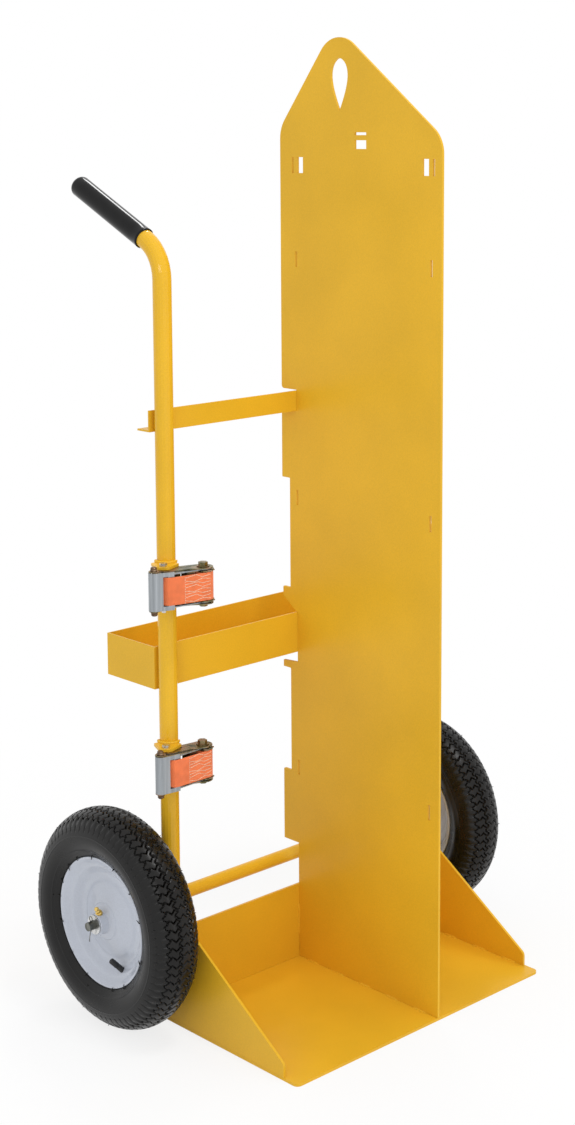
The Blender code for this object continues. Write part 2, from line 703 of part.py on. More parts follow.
def level(z):
    return Matrix.Translation((0, 0, z))


def build_buckle_frame(name, hand, pivot):
    spool = circle((0, 0), JOURNAL_RADIUS + RUN)
    slot = rectangle(0.0319, -0.0058, 0.0224, PAWL_THICKNESS + 2 * RUN)
    bolt = circle((SPOOL_REACH, -SPOOL_FORWARD), MOUNT_BOLT_RADIUS + RUN, 12)
    middle = SIDE_IN + SHEET / 2
    plate = flat_mesh([mirrored(o, hand) for o in (side_outline(), spool, slot, bolt)], SHEET)
    top = plate.copy()
    top.transform(level(middle))
    low, high = sorted((hand * -0.0178, hand * (-0.0178 + SHEET)))
    outer = SIDE_IN + SHEET * 0.9
    back = box_mesh((0.036, low, -outer), (SPOOL_REACH + 0.006, high, outer))
    mesh = combine(top, [(back, None), (plate, level(-middle))], "UNION")
    return add_mesh(name, mesh, yellow_zinc, parent=pivot)


def grip_outline():
    """The grip plate seen from above: flat face, then rolled round the tip."""
    outer = GRIP_ROLL
    inner = outer - 0.0020
    centre = (HANDLE_TIP - outer, GRIP_FACE - outer)
    return [(GRIP_EDGE, GRIP_FACE - 0.0020), (GRIP_EDGE, GRIP_FACE),
            *arc(centre, outer, 90, -70, 6), *arc(centre, inner, -70, 90, 6)]


def build_handle(name, hand, pivot):
    journal = circle((0, 0), JOURNAL_RADIUS + RUN)
    slot = rectangle(0.0295, 0.0106, 0.0200, PAWL_THICKNESS + 2 * RUN)
    arm = flat_mesh([mirrored(o, hand) for o in (arm_outline(), journal, slot)], SHEET)
    middle = ARM_IN + SHEET / 2
    grip = flat_mesh([mirrored(grip_outline(), hand)], 2 * GRIP_HALF)
    pin_half = SIDE_IN + SHEET + PIN_END
    pin = cylinder_mesh(0.0035, 2 * pin_half, 8)
    pin_head = cylinder_mesh(0.0052, 0.0020, 8)
    pin_place = Matrix.Translation((HANDLE_TIP - GRIP_ROLL, hand * 0.0125, 0))
    tools = [(arm, level(middle)), (arm, level(-middle)), (pin, pin_place)]
    for z in (pin_half, -pin_half):
        tools.append((pin_head, pin_place @ level(z)))
    mesh = combine(grip, tools, "UNION")
    window_v = sorted((hand * (GRIP_FACE - 0.0060), hand * (GRIP_FACE + 0.0040)))
    window = box_mesh((WEB_SLOT - 0.0035, window_v[0], -STRAP_HALF - 0.001),
                      (WEB_SLOT + 0.0065, window_v[1], STRAP_HALF + 0.001))
    mesh = combine(mesh, [(window, None)], "DIFFERENCE")
    return add_mesh(name, mesh, bare_steel, parent=pivot)


def gear_outline():
    points = []
    for tooth in range(GEAR_TEETH):
        start = 360 * tooth / GEAR_TEETH
        for turn, radius in ((0, GEAR_TIP), (8, GEAR_ROOT)):
            angle = math.radians(start + turn)
            points.append((radius * math.cos(angle), radius * math.sin(angle)))
    return points


def build_spool(name, hand, pivot):
    """The spool: a mandrel, a ratchet wheel at each end and a bolt head on top."""
    gear = flat_mesh([mirrored(gear_outline(), hand)], GEAR_THICKNESS)
    middle = GEAR_IN + GEAR_THICKNESS / 2
    side_out = SIDE_IN + SHEET
    journal = cylinder_mesh(JOURNAL_RADIUS, 2 * side_out + 0.001, 14)
    head_height = 0.0065
    head = cylinder_mesh(SPOOL_HEAD, head_height, 6)
    washer = cylinder_mesh(0.0115, 0.0012, 12)
    rest = side_out + RUN
    nut = cylinder_mesh(SPOOL_HEAD - 0.0012, 0.0045, 6)
    tools = [(gear, level(middle)), (gear, level(-middle)),
             (washer, level(rest + 0.0006)), (washer, level(-rest - 0.0006)),
             (head, level(rest + 0.0012 + head_height / 2 - 0.0001)),
             (nut, level(-rest - 0.0012 - 0.0021))]
    mesh = combine(journal, tools, "UNION")
    return add_mesh(name, mesh, yellow_zinc, parent=pivot)


def build_lock_pawl(name, hand, pivot):
    """The plate that locks the spool, sliding in the slots of the side plates."""
    half = SIDE_IN + SHEET - 0.0002
    low, high = sorted((hand * (-0.0058 - PAWL_THICKNESS / 2),
                        hand * (-0.0058 + PAWL_THICKNESS / 2)))
    mesh = box_mesh((0.0211, low, -half), (0.0385, high, half))
    return add_mesh(name, mesh, yellow_zinc, parent=pivot)


def build_handle_pawl(name, hand, pivot):
    """The plate that drives the spool, with a pull tongue reaching to the grip."""
    half = ARM_IN + SHEET - 0.0002
    tongue = GRIP_EDGE
    outline = [(0.0200, -half), (0.0345, -half), (0.0345, -0.013), (tongue, -0.013),
               (tongue, 0.013), (0.0345, 0.013), (0.0345, half), (0.0200, half)]
    mesh = flat_mesh([outline], PAWL_THICKNESS)
    stand = Matrix.Rotation(math.pi / 2, 4, "X")
    return add_mesh(name, mesh, yellow_zinc,
                    Matrix.Translation((0, hand * 0.0106, 0)) @ stand, pivot)


def strap_outline():
    """Webbing from the grip's slot along the front to the roll on the spool."""
    t = STRAP_THICKNESS
    tail = [(WEB_SLOT + 0.0105, 0.0165), (WEB_SLOT + 0.0030, 0.0180),
            (WEB_SLOT - 0.0030, GRIP_FACE + 0.0010), (GRIP_EDGE, GRIP_FACE + 0.0007),
            (GRIP_EDGE - 0.006, GRIP_FACE - 0.0002), (0, ROLL_RADIUS - t - 0.0004)]
    upper = [(u, v + t) for u, v in tail]
    return tail + list(reversed(upper))


def build_strap(name, hand, pivot):
    roll = flat_mesh([circle((0, 0), ROLL_RADIUS, 24),
                      circle((0, 0), JOURNAL_RADIUS + GAP, 16)], 2 * STRAP_HALF)
    tail = flat_mesh([mirrored(strap_outline(), hand)], 2 * STRAP_HALF)
    mesh = combine(roll, [(tail, None)], "UNION")
    return add_mesh(name, mesh, webbing, parent=pivot)


def build_tab(name, sign, height):
    """The tab welded to an upright that carries the mount bolt."""
    x = sign * UPRIGHT_X
    bolt = Vector((sign * MOUNT_X, MOUNT_Y))
    pipe = Vector((x, -PIPE_RADIUS))
    out = (bolt - pipe).normalized()
    across = Vector((-out.y, out.x))
    reach = (bolt - pipe).length

    def at(along, aside):
        return tuple(pipe + out * along + across * aside)

    near = (PIPE_RADIUS + GAP) / math.cos(math.radians(11))
    hug = []
    for k in range(7):
        angle = math.radians(-66 + 22 * k)
        hug.append(at(near * math.cos(angle), near * math.sin(angle)))
    corner_side = 0.0245
    outline = hug + [at(near * 0.45 + 0.010, corner_side), at(reach + 0.006, 0.0125),
                     at(reach + 0.0105, 0.0060), at(reach + 0.0105, -0.0060),
                     at(reach + 0.006, -0.0125), at(near * 0.45 + 0.010, -corner_side)]
    hole = circle(bolt, MOUNT_BOLT_RADIUS + GAP, 12)
    mesh = flat_mesh([outline, hole], PLATE)
    return add_mesh(name, mesh, yellow, level(height + PLATE / 2))


def build_mount_bolt(name, pivot):
    """A long hex bolt down through the tab and both side plates, with a nut below."""
    side_out = SIDE_IN + SHEET
    head_z = side_out + GAP + PLATE + GAP + 0.0025
    nut_z = -side_out - GAP - 0.0023
    end_z = nut_z - 0.0095
    shank = cylinder_mesh(MOUNT_BOLT_RADIUS, head_z - end_z, 10)
    shank.transform(level((head_z + end_z) / 2))
    head = cylinder_mesh(0.0070, 0.0050, 6)
    nut = cylinder_mesh(0.0066, 0.0046, 6)
    mesh = combine(shank, [(head, level(head_z)), (nut, level(nut_z))], "UNION")
    return add_mesh(name, mesh, zinc, parent=pivot)


def build_buckle(side, sign, place_name, height, swing):
    """One ratchet: an empty on the mount bolt carries it, others sit on the spool."""
    tag = side + "_" + place_name
    hand = -sign
    turn = (math.pi if sign < 0 else 0) + sign * swing
    build_tab("ratchet_tab_" + tag, sign, height + SIDE_IN + SHEET + GAP)
    swivel = Matrix.Translation((sign * MOUNT_X, MOUNT_Y, height)) @ Matrix.Rotation(
        turn, 4, "Z")
    ratchet = add_empty("swivel_" + tag, swivel)
    build_mount_bolt("mount_bolt_" + tag, ratchet)
    spool_place = Matrix.Translation((-SPOOL_REACH, hand * SPOOL_FORWARD, 0))
    spool = add_empty("spool_axis_" + tag, spool_place, ratchet)
    lever = add_empty("handle_axis_" + tag, spool_place, ratchet)
    build_buckle_frame("ratchet_frame_" + tag, hand, spool)
    build_lock_pawl("lock_pawl_" + tag, hand, spool)
    build_spool("spool_" + tag, hand, spool)
    build_handle("ratchet_handle_" + tag, hand, lever)
    build_handle_pawl("handle_pawl_" + tag, hand, lever)
    build_strap("strap_" + tag, hand, lever)


# ---- build ------------------------------------------------------------------------
clear_scene()
parts = make_collection("torch_cart")
cutters = make_collection("cutters")

yellow = material("safety_yellow_enamel", (0.72, 0.40, 0.02), 0.38, 0.0)
black_vinyl = material("black_vinyl", (0.010, 0.010, 0.011), 0.22, 0.0)
rubber = material("tyre_rubber", (0.022, 0.022, 0.023), 0.72, 0.0)
rim_white = material("rim_enamel", (0.60, 0.64, 0.72), 0.32, 0.0)
bare_steel = material("bright_steel", (0.42, 0.43, 0.45), 0.34, 1.0)
zinc = material("zinc_plate", (0.55, 0.55, 0.54), 0.36, 1.0)
yellow_zinc = material("yellow_zinc_plate", (0.55, 0.46, 0.22), 0.34, 1.0)
webbing = material("orange_webbing", (0.92, 0.18, 0.05), 0.80, 0.0)

build_toe_plate()
build_back_wall()
build_fire_barrier()
build_top_bar()
build_tool_tray()
build_axle_tube()
build_axle()
for side_name, side_sign in (("left", -1), ("right", 1)):
    build_gusset(side_name, side_sign)
    build_upright(side_name, side_sign)
    build_grip(side_name, side_sign)
    build_axle_bracket(side_name, side_sign)
    build_washer(side_name, side_sign)
    build_cotter(side_name, side_sign)
    build_wheel(side_name, side_sign)
for buckle_side, buckle_place, middle_height, swing_angle in BUCKLES:
    side_sign = -1 if buckle_side == "left" else 1
    build_buckle(buckle_side, side_sign, buckle_place, middle_height, swing_angle)
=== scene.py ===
"""Torch cart for two gas cylinders: finishes, tyres, rims, webbing, welds and the stage.

The frame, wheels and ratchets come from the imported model. This file paints them and adds
the pieces whose detail is finer than the solids: treaded tyres, pressed rims, moulded
grips, weld beads, stitched webbing and small fasteners. Everything is in metres.
"""
import json
import math
import bmesh
import bpy
from mathutils import Matrix, Vector


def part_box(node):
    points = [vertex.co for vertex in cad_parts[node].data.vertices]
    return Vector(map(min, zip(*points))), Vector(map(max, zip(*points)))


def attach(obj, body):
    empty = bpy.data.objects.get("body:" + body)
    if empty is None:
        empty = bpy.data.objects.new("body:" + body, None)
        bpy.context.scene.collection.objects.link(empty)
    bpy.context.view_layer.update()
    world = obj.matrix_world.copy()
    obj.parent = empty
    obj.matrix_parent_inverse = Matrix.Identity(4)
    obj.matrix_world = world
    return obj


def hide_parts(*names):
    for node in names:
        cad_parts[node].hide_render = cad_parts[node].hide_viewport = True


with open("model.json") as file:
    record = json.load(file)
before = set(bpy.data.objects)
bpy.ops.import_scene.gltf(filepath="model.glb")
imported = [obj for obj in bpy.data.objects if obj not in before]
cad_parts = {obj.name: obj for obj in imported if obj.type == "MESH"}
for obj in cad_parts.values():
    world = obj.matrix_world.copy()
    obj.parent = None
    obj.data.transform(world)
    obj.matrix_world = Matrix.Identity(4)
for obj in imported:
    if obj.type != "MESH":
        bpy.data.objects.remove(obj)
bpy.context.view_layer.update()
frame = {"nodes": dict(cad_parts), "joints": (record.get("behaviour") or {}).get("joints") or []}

bl_info = {
    "name": "Torch Cart",
    "version": (1, 0, 0),
    "blender": (4, 5, 0),
    "location": "3D View > Sidebar > Torch Cart",
    "description": "Finishes and fine pieces of a two cylinder torch cart",
    "category": "Object",
}

NODES = frame["nodes"]
JOINTS = {joint["name"]: joint for joint in frame["joints"]}
SIDES = (("left", -1), ("right", 1))
RATCHETS = tuple(name[7:] for name in JOINTS if name.startswith("swivel_"))


# ---- settings ----
class TORCHCART_PG_finish(bpy.types.PropertyGroup):
    """Colours of the cart's finishes."""

    enamel: bpy.props.FloatVectorProperty(
        name="Enamel", description="Colour of the frame's enamel",
        subtype="COLOR", default=(0.830, 0.478, 0.024), min=0, max=1)
    rim_enamel: bpy.props.FloatVectorProperty(
        name="Rim enamel", description="Colour of the wheel rims",
        subtype="COLOR", default=(0.56, 0.595, 0.67), min=0, max=1)
    vinyl: bpy.props.FloatVectorProperty(
        name="Grip vinyl", description="Colour of the hand grips",
        subtype="COLOR", default=(0.003, 0.003, 0.0032), min=0, max=1)
    rubber: bpy.props.FloatVectorProperty(
        name="Tyre rubber", description="Colour of the tyres' side walls",
        subtype="COLOR", default=(0.0062, 0.0060, 0.0059), min=0, max=1)
    webbing: bpy.props.FloatVectorProperty(
        name="Webbing", description="Colour of the ratchet webbing",
        subtype="COLOR", default=(0.92, 0.20, 0.060), min=0, max=1)


class TORCHCART_PG_wheel(bpy.types.PropertyGroup):
    """Sizes of the tyre tread."""

    pitches: bpy.props.IntProperty(
        name="Tread pitches", description="Tread blocks round a tyre", default=76, min=20)
    tread_depth: bpy.props.FloatProperty(
        name="Tread depth", description="Depth of the grooves between blocks",
        subtype="DISTANCE", unit="LENGTH", default=0.0032, min=0.0)
    groove: bpy.props.FloatProperty(
        name="Groove width", description="Width of the grooves between blocks",
        subtype="DISTANCE", unit="LENGTH", default=0.0015, min=0.0005)


class TORCHCART_PG_detail(bpy.types.PropertyGroup):
    """Sizes of edges, welds and stitches."""

    edge: bpy.props.FloatProperty(
        name="Edge rounding", description="Rounding of painted steel edges",
        subtype="DISTANCE", unit="LENGTH", default=0.0006, min=0.0)
    bead: bpy.props.FloatProperty(
        name="Weld bead", description="Radius of a weld bead",
        subtype="DISTANCE", unit="LENGTH", default=0.0022, min=0.0005)
    web_thickness: bpy.props.FloatProperty(
        name="Webbing thickness", description="Thickness of the ratchet webbing",
        subtype="DISTANCE", unit="LENGTH", default=0.0017, min=0.0005)
    stitch: bpy.props.FloatProperty(
        name="Stitch thread", description="Radius of the stitching thread",
        subtype="DISTANCE", unit="LENGTH", default=0.00045, min=0.0001)


class TORCHCART_PG_stage(bpy.types.PropertyGroup):
    """Camera and lamps."""

    lens: bpy.props.FloatProperty(
        name="Lens", description="Focal length of the camera", subtype="DISTANCE_CAMERA",
        default=60.9, min=10)
    key: bpy.props.FloatProperty(
        name="Key lamp", description="Power of the lamp on the left", subtype="POWER",
        default=8.0, min=0)
    back: bpy.props.FloatProperty(
        name="Back lamp", description="Power of the lamp high on the right, behind",
        subtype="POWER", default=16.0, min=0)
    top: bpy.props.FloatProperty(
        name="Top lamp", description="Power of the lamp overhead", subtype="POWER",
        default=38.0, min=0)
    strip: bpy.props.FloatProperty(
        name="Strip lamp", description="Power of the tall narrow lamp in front",
        subtype="POWER", default=3.4, min=0)
    ambient: bpy.props.FloatProperty(
        name="Ambient", description="Strength of the world's light", default=0.83, min=0)


# ---- shader helpers ----
def new_material(name, colour, roughness, metallic=0.0):
    """A Principled material and its node tree, shader and object coordinates."""
    mat = bpy.data.materials.new(name)
    mat.use_nodes = True
    tree = mat.node_tree
    shader = tree.nodes["Principled BSDF"]
    shader.inputs["Base Color"].default_value = (*colour, 1)
    shader.inputs["Roughness"].default_value = roughness
    shader.inputs["Metallic"].default_value = metallic
    mat.diffuse_color = (*colour, 1)
    where = tree.nodes.new("ShaderNodeTexCoord").outputs["Object"]
    return mat, tree, shader, where


def feed(tree, socket, value):
    """Sets a socket's value, or links another node's output to it."""
    if isinstance(value, bpy.types.NodeSocket):
        tree.links.new(value, socket)
    else:
        socket.default_value = value


def add_node(tree, kind, settings=None, **sockets):
    """A shader node with its own settings and fed sockets, whose names have _ for a space."""
    node = tree.nodes.new("ShaderNode" + kind)
    for name, value in (settings or {}).items():
        setattr(node, name, value)
    for name, value in sockets.items():
        feed(tree, node.inputs[name.replace("_", " ")], value)
    return node


def noise_node(tree, where, scale, detail=2.0, stretch=None):
    """A noise texture in object space, its scale in bumps to a metre."""
    if stretch:
        where = add_node(tree, "Mapping", Vector=where, Scale=stretch).outputs["Vector"]
    return add_node(tree, "TexNoise", Vector=where, Scale=scale, Detail=detail).outputs["Fac"]


def ramp_node(tree, factor, stops):
    """A colour ramp with (position, colour) stops."""
    node = add_node(tree, "ValToRGB", Fac=factor)
    ramp = node.color_ramp
    while len(ramp.elements) < len(stops):
        ramp.elements.new(0.5)
    for element, (position, colour) in zip(ramp.elements, stops):
        element.position = position
        element.color = (*colour, 1)
    return node.outputs["Color"]


def range_node(tree, factor, low, high, start=0.3, stop=0.7):
    """Spreads a factor's start-stop range over low-high."""
    return add_node(tree, "MapRange", Value=factor, From_Min=start, From_Max=stop,
                    To_Min=low, To_Max=high).outputs["Result"]


def bump_node(tree, shader, height, strength, distance):
    """Bumps a shader's normal."""
    bump = add_node(tree, "Bump", Height=height, Strength=strength, Distance=distance)
    tree.links.new(bump.outputs["Normal"], shader.inputs["Normal"])


def mix_node(tree, factor, first, second, blend="MIX"):
    """Mixes two colours by a factor."""
    return add_node(tree, "Mix", {"data_type": "RGBA", "blend_type": blend},
                    Factor=factor, A=first, B=second).outputs["Result"]


def math_node(tree, operation, *values):
    """A sum or other operation on numbers and other nodes' outputs."""
    node = add_node(tree, "Math", {"operation": operation})
    for socket, value in zip(node.inputs, values):
        feed(tree, socket, value)
    return node.outputs["Value"]


def length_node(tree, vector):
    """Length of a vector."""
    return add_node(tree, "VectorMath", {"operation": "LENGTH"}, Vector=vector).outputs["Value"]


def wave_node(tree, where, direction, scale, distortion, detail=2.0):
    """Straight bands across one direction."""
    return add_node(tree, "TexWave", {"bands_direction": direction}, Vector=where, Scale=scale,
                    Distortion=distortion, Detail=detail).outputs["Fac"]


def shade(colour, factor):
    """A colour made lighter or darker."""
    return tuple(min(1.0, channel * factor) for channel in colour)


# ---- finishes ----
def enamel(name, colour, roughness=0.34, gloss=0.25):
    """Sprayed enamel on steel: faint mottle, orange peel and uneven gloss."""
    mat, tree, shader, where = new_material(name, colour, roughness)
    cloud = noise_node(tree, where, 5.0, 3.0)
    tint = ramp_node(tree, cloud, [(0.35, shade(colour, 0.95)), (0.65, shade(colour, 1.04))])
    fleck = noise_node(tree, where, 420.0, 2.0)
    mottle = ramp_node(tree, fleck, [(0.3, (0.90, 0.90, 0.90)), (0.7, (1, 1, 1))])
    tree.links.new(mix_node(tree, 0.8, tint, mottle, "MULTIPLY"), shader.inputs["Base Color"])
    haze = noise_node(tree, where, 14.0, 4.0)
    tree.links.new(range_node(tree, haze, roughness - 0.03, roughness + 0.06),
                   shader.inputs["Roughness"])
    shader.inputs["Specular IOR Level"].default_value = gloss
    bump_node(tree, shader, noise_node(tree, where, 330.0, 2.0), 0.06, 0.0003)
    return mat


def vinyl(name, colour):
    """Dipped vinyl: smooth and glossy with slow waves."""
    mat, tree, shader, where = new_material(name, colour, 0.2)
    shader.inputs["Specular IOR Level"].default_value = 0.22
    wave = noise_node(tree, where, 60.0, 2.0)
    tree.links.new(range_node(tree, wave, 0.08, 0.16), shader.inputs["Roughness"])
    tint = ramp_node(tree, wave, [(0.3, shade(colour, 0.8)), (0.7, shade(colour, 1.5))])
    tree.links.new(tint, shader.inputs["Base Color"])
    bump_node(tree, shader, noise_node(tree, where, 45.0, 2.0), 0.20, 0.0006)
    return mat


def metal(name, colours, roughness, grain=(1, 1, 1), scale=55.0, highlight_streak=None):
    """Plated or bare steel, cloudy in colour, with a fine grain; a stretched cloud paints
    highlight streaks.
    """
    mat, tree, shader, where = new_material(name, colours[1], roughness, 1.0)
    # With a stretch, this colour cloud becomes long light and dark bands: painted highlight
    # streaks.
    cloud = noise_node(tree, where, scale, 3.0, highlight_streak)
    stops = [(0.36, colours[0]), (0.5, colours[1]), (0.64, colours[2])]
    tree.links.new(ramp_node(tree, cloud, stops), shader.inputs["Base Color"])
    fine = noise_node(tree, where, 700.0, 3.0, grain)
    tree.links.new(range_node(tree, fine, roughness - 0.07, roughness + 0.12),
                   shader.inputs["Roughness"])
    bump_node(tree, shader, fine, 0.12, 0.0002)
    return mat


def tyre_rubber(name, colour, radius):
    """Dark rubber, greyer on the walls and browner on the tread; object Z is the axle."""
    mat, tree, shader, where = new_material(name, colour, 0.5)
    shader.inputs["Specular IOR Level"].default_value = 0.28
    split = add_node(tree, "SeparateXYZ", Vector=where).outputs
    flat = add_node(tree, "CombineXYZ", X=split["X"], Y=split["Y"])
    out = length_node(tree, flat.outputs["Vector"])
    tread = range_node(tree, out, 0.0, 1.0, radius - 0.016, radius - 0.006)
    dust = noise_node(tree, where, 28.0, 4.0)
    side = ramp_node(tree, dust, [(0.3, shade(colour, 0.75)), (0.7, shade(colour, 1.35))])
    brown = (colour[0] * 0.85, colour[1] * 0.75, colour[2] * 0.68)
    crown = ramp_node(tree, dust, [(0.3, shade(brown, 0.7)), (0.7, shade(brown, 1.3))])
    tree.links.new(mix_node(tree, tread, side, crown), shader.inputs["Base Color"])
    tree.links.new(range_node(tree, dust, 0.22, 0.38), shader.inputs["Roughness"])
    bump_node(tree, shader, noise_node(tree, where, 500.0, 3.0), 0.10, 0.0003)
    return mat


def plain_rubber(name, colour):
    """Moulded rubber for the small pieces."""
    mat, tree, shader, where = new_material(name, colour, 0.5)
    fine = noise_node(tree, where, 500.0, 3.0)
    tint = ramp_node(tree, fine, [(0.3, shade(colour, 0.7)), (0.7, shade(colour, 1.4))])
    tree.links.new(tint, shader.inputs["Base Color"])
    tree.links.new(range_node(tree, fine, 0.42, 0.6), shader.inputs["Roughness"])
    bump_node(tree, shader, fine, 0.2, 0.0002)
    return mat


def web_weave(name, colour):
    """Woven webbing: ribs across, yarns along, from the strap's own UV in metres."""
    mat, tree, shader, where = new_material(name, colour, 0.78)
    along = tree.nodes.new("ShaderNodeUVMap").outputs["UV"]
    ribs = wave_node(tree, along, "X", 260.0, 0.6, 1.0)
    yarns = wave_node(tree, along, "Y", 190.0, 0.4)
    weave = math_node(tree, "MULTIPLY", ribs, yarns)
    cloud = noise_node(tree, where, 60.0, 1.0)
    tone = math_node(tree, "MULTIPLY_ADD", weave, 0.45, cloud)
    stops = [(0.30, shade(colour, 0.84)), (0.62, colour), (0.95, shade(colour, 1.12))]
    tree.links.new(ramp_node(tree, tone, stops), shader.inputs["Base Color"])
    shader.inputs["Sheen Weight"].default_value = 0.25
    shader.inputs["Sheen Roughness"].default_value = 0.5
    bump_node(tree, shader, weave, 0.7, 0.0005)
    return mat


# ---- mesh helpers ----
def new_object(name, data):
    """An object in the scene."""
    obj = bpy.data.objects.new(name, data)
    bpy.context.scene.collection.objects.link(obj)
    return obj


def mesh_object(name, verts, faces):
    """A mesh object with outward normals."""
    mesh = bpy.data.meshes.new(name)
    mesh.from_pydata(verts, [], faces)
    work = bmesh.new()
    work.from_mesh(mesh)
    bmesh.ops.recalc_face_normals(work, faces=work.faces)
    work.to_mesh(mesh)
    work.free()
    return new_object(name, mesh)


def add_piece(name, shape, place, mat, body, angle=35, hides=()):
    """A smooth piece from vertices and faces, with its finish and place on a body."""
    obj = mesh_object(name, *shape)
    if place:
        obj.matrix_world = place
    obj.data.materials.append(mat)
    obj.data.shade_smooth()
    obj.data.set_sharp_from_angle(angle=math.radians(angle))
    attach(obj, body)
    if hides:
        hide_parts(*hides)
    return obj


def spoke_at(angle):
    """A direction out from Z."""
    return Vector((math.cos(angle), math.sin(angle), 0))


def skin(rings, count, closed=True, looped=True):
    """Faces over rings of points; looped joins the last ring to the first."""
    faces = []
    for i in range(rings if looped else rings - 1):
        a, b = i * count, (i + 1) % rings * count
        for j in range(count if closed else count - 1):
            k = (j + 1) % count
            faces.append((a + j, b + j, b + k, a + k))
    return faces


def turned(profile, steps, closed=True):
    """Vertices and faces of a (radius, height) profile turned about Z."""
    count = len(profile)
    verts = []
    for i in range(steps):
        angle = math.tau * i / steps
        c, s = math.cos(angle), math.sin(angle)
        verts += [(r * c, r * s, h) for r, h in profile]
    faces = skin(steps, count, closed)
    if not closed:
        faces.append(tuple(i * count for i in reversed(range(steps))))
        faces.append(tuple(i * count + count - 1 for i in range(steps)))
    return verts, faces


def smooth_line(points, per_span):
    """A Catmull-Rom line through 2D points, with some samples in each span."""
    line = []
    ends = [points[0], *points, points[-1]]
    for i in range(len(points) - 1):
        p0, p1, p2, p3 = (Vector(p) for p in ends[i:i + 4])
        for k in range(per_span):
            t = k / per_span
            line.append(tuple(0.5 * (2 * p1 + (p2 - p0) * t
                                     + (2 * p0 - 5 * p1 + 4 * p2 - p3) * t * t
                                     + (3 * p1 - p0 - 3 * p2 + p3) * t ** 3)))
    line.append(tuple(points[-1]))
    return line


def line_normals(line):
    """The normal at each point of a 2D line, on its right."""
    normals = []
    for i in range(len(line)):
        before = Vector(line[max(i - 1, 0)])
        after = Vector(line[min(i + 1, len(line) - 1)])
        run = (after - before).normalized()
        normals.append(Vector((run.y, -run.x)))
    return normals


def line_lengths(line):
    """How far along a 2D line each of its points is."""
    lengths = [0.0]
    for a, b in zip(line, line[1:]):
        lengths.append(lengths[-1] + (Vector(b) - Vector(a)).length)
    return lengths


def wire(name, paths, radius, mat, body, resolution=2, radii=None):
    """Round wire or bead along one or more lists of points."""
    curve = bpy.data.curves.new(name, "CURVE")
    curve.dimensions = "3D"
    curve.bevel_depth = radius
    curve.bevel_resolution = resolution
    curve.use_fill_caps = True
    for path in paths:
        spline = curve.splines.new("POLY")
        spline.points.add(len(path) - 1)
        for i, (point, place) in enumerate(zip(spline.points, path)):
            point.co = (*place, 1)
            point.radius = radii(i, len(path)) if radii else 1.0
    obj = new_object(name, curve)
    obj.data.materials.append(mat)
    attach(obj, body)
    return obj


def along_axle(side_sign, centre):
    """A wheel's own frame: Z outboard along the axle, origin at the middle of the tyre."""
    turn = Matrix.Rotation(side_sign * math.pi / 2, 4, "Y")
    return Matrix.Translation(centre) @ turn


def facing(place, run):
    """A frame at a place, with its Z along a direction."""
    return Matrix.Translation(place) @ run.to_track_quat("Z", "X").to_matrix().to_4x4()


def middle(node):
    """The middle of a solid's box."""
    low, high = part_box(node)
    return (low + high) / 2


def half_size(node):
    """Half of a solid's box, from its middle to a corner."""
    low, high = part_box(node)
    return (high - low) / 2


def upright_section(side):
    """An upright pipe from above: its centre and radius."""
    low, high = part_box(f"upright_{side}")
    radius = (high.x - low.x) / 2
    return Vector(((low.x + high.x) / 2, -radius)), radius


# ---- painted frame ----
def paint(node, mat, edge=0.0):
    """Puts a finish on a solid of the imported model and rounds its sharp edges."""
    obj = NODES[node]
    obj.data.materials.clear()
    obj.data.materials.append(mat)
    if edge:
        bevel = obj.modifiers.new("edge", "BEVEL")
        bevel.width = edge
        bevel.segments = 2
        bevel.limit_method = "ANGLE"
        bevel.angle_limit = math.radians(40)


ENAMELLED = ("toe_plate", "back_wall", "fire_barrier", "top_bar", "tool_tray", "axle_tube")


class TORCHCART_OT_frame(bpy.types.Operator):
    """Enamels the plates, bars and uprights of the frame"""

    bl_idname = "torchcart.frame"
    bl_label = "Frame enamel"

    def execute(self, context):
        scene = context.scene
        mat = enamel("cart_enamel", scene.torchcart_finish.enamel)
        smooth = enamel("pipe_enamel", scene.torchcart_finish.enamel, 0.12)
        edge = scene.torchcart_detail.edge
        for node in ENAMELLED:
            paint(node, mat, edge)
        for side, _ in SIDES:
            for part in ("gusset", "axle_bracket"):
                paint(f"{part}_{side}", mat, edge)
            paint(f"upright_{side}", smooth)
        for tag in RATCHETS:
            paint(f"ratchet_tab_{tag}", mat, edge)
        return {"FINISHED"}


RIPPLE = 0.0032              # length of one ripple of a weld
WELD_LIFT = 0.0006           # from a plate's face to the middle of its bead


def bead_path(start, end):
    """Points along a straight weld, one for each ripple."""
    start, end = Vector(start), Vector(end)
    count = max(3, round((end - start).length / RIPPLE))
    return [start.lerp(end, i / count) for i in range(count + 1)]


def tack_row(x, first, pitch, length, count, floor):
    """Short welds in a row along the toe plate, front to back."""
    rows = [first + pitch * k for k in range(count)]
    return [bead_path((x, y, floor), (x, y + length, floor)) for y in rows]


def rippled(end, low, high):
    """Thickness along a bead: thin at its ends, and low and high by turns between."""
    return lambda i, count: end if i in (0, count - 1) else (high if i % 2 else low)


def ring_path(centre, radius, start, stop, count):
    """Points round a pipe at one height, angles in degrees from +X."""
    angles = (math.radians(start + (stop - start) * i / count) for i in range(count + 1))
    return [Vector(centre) + spoke_at(angle) * radius for angle in angles]


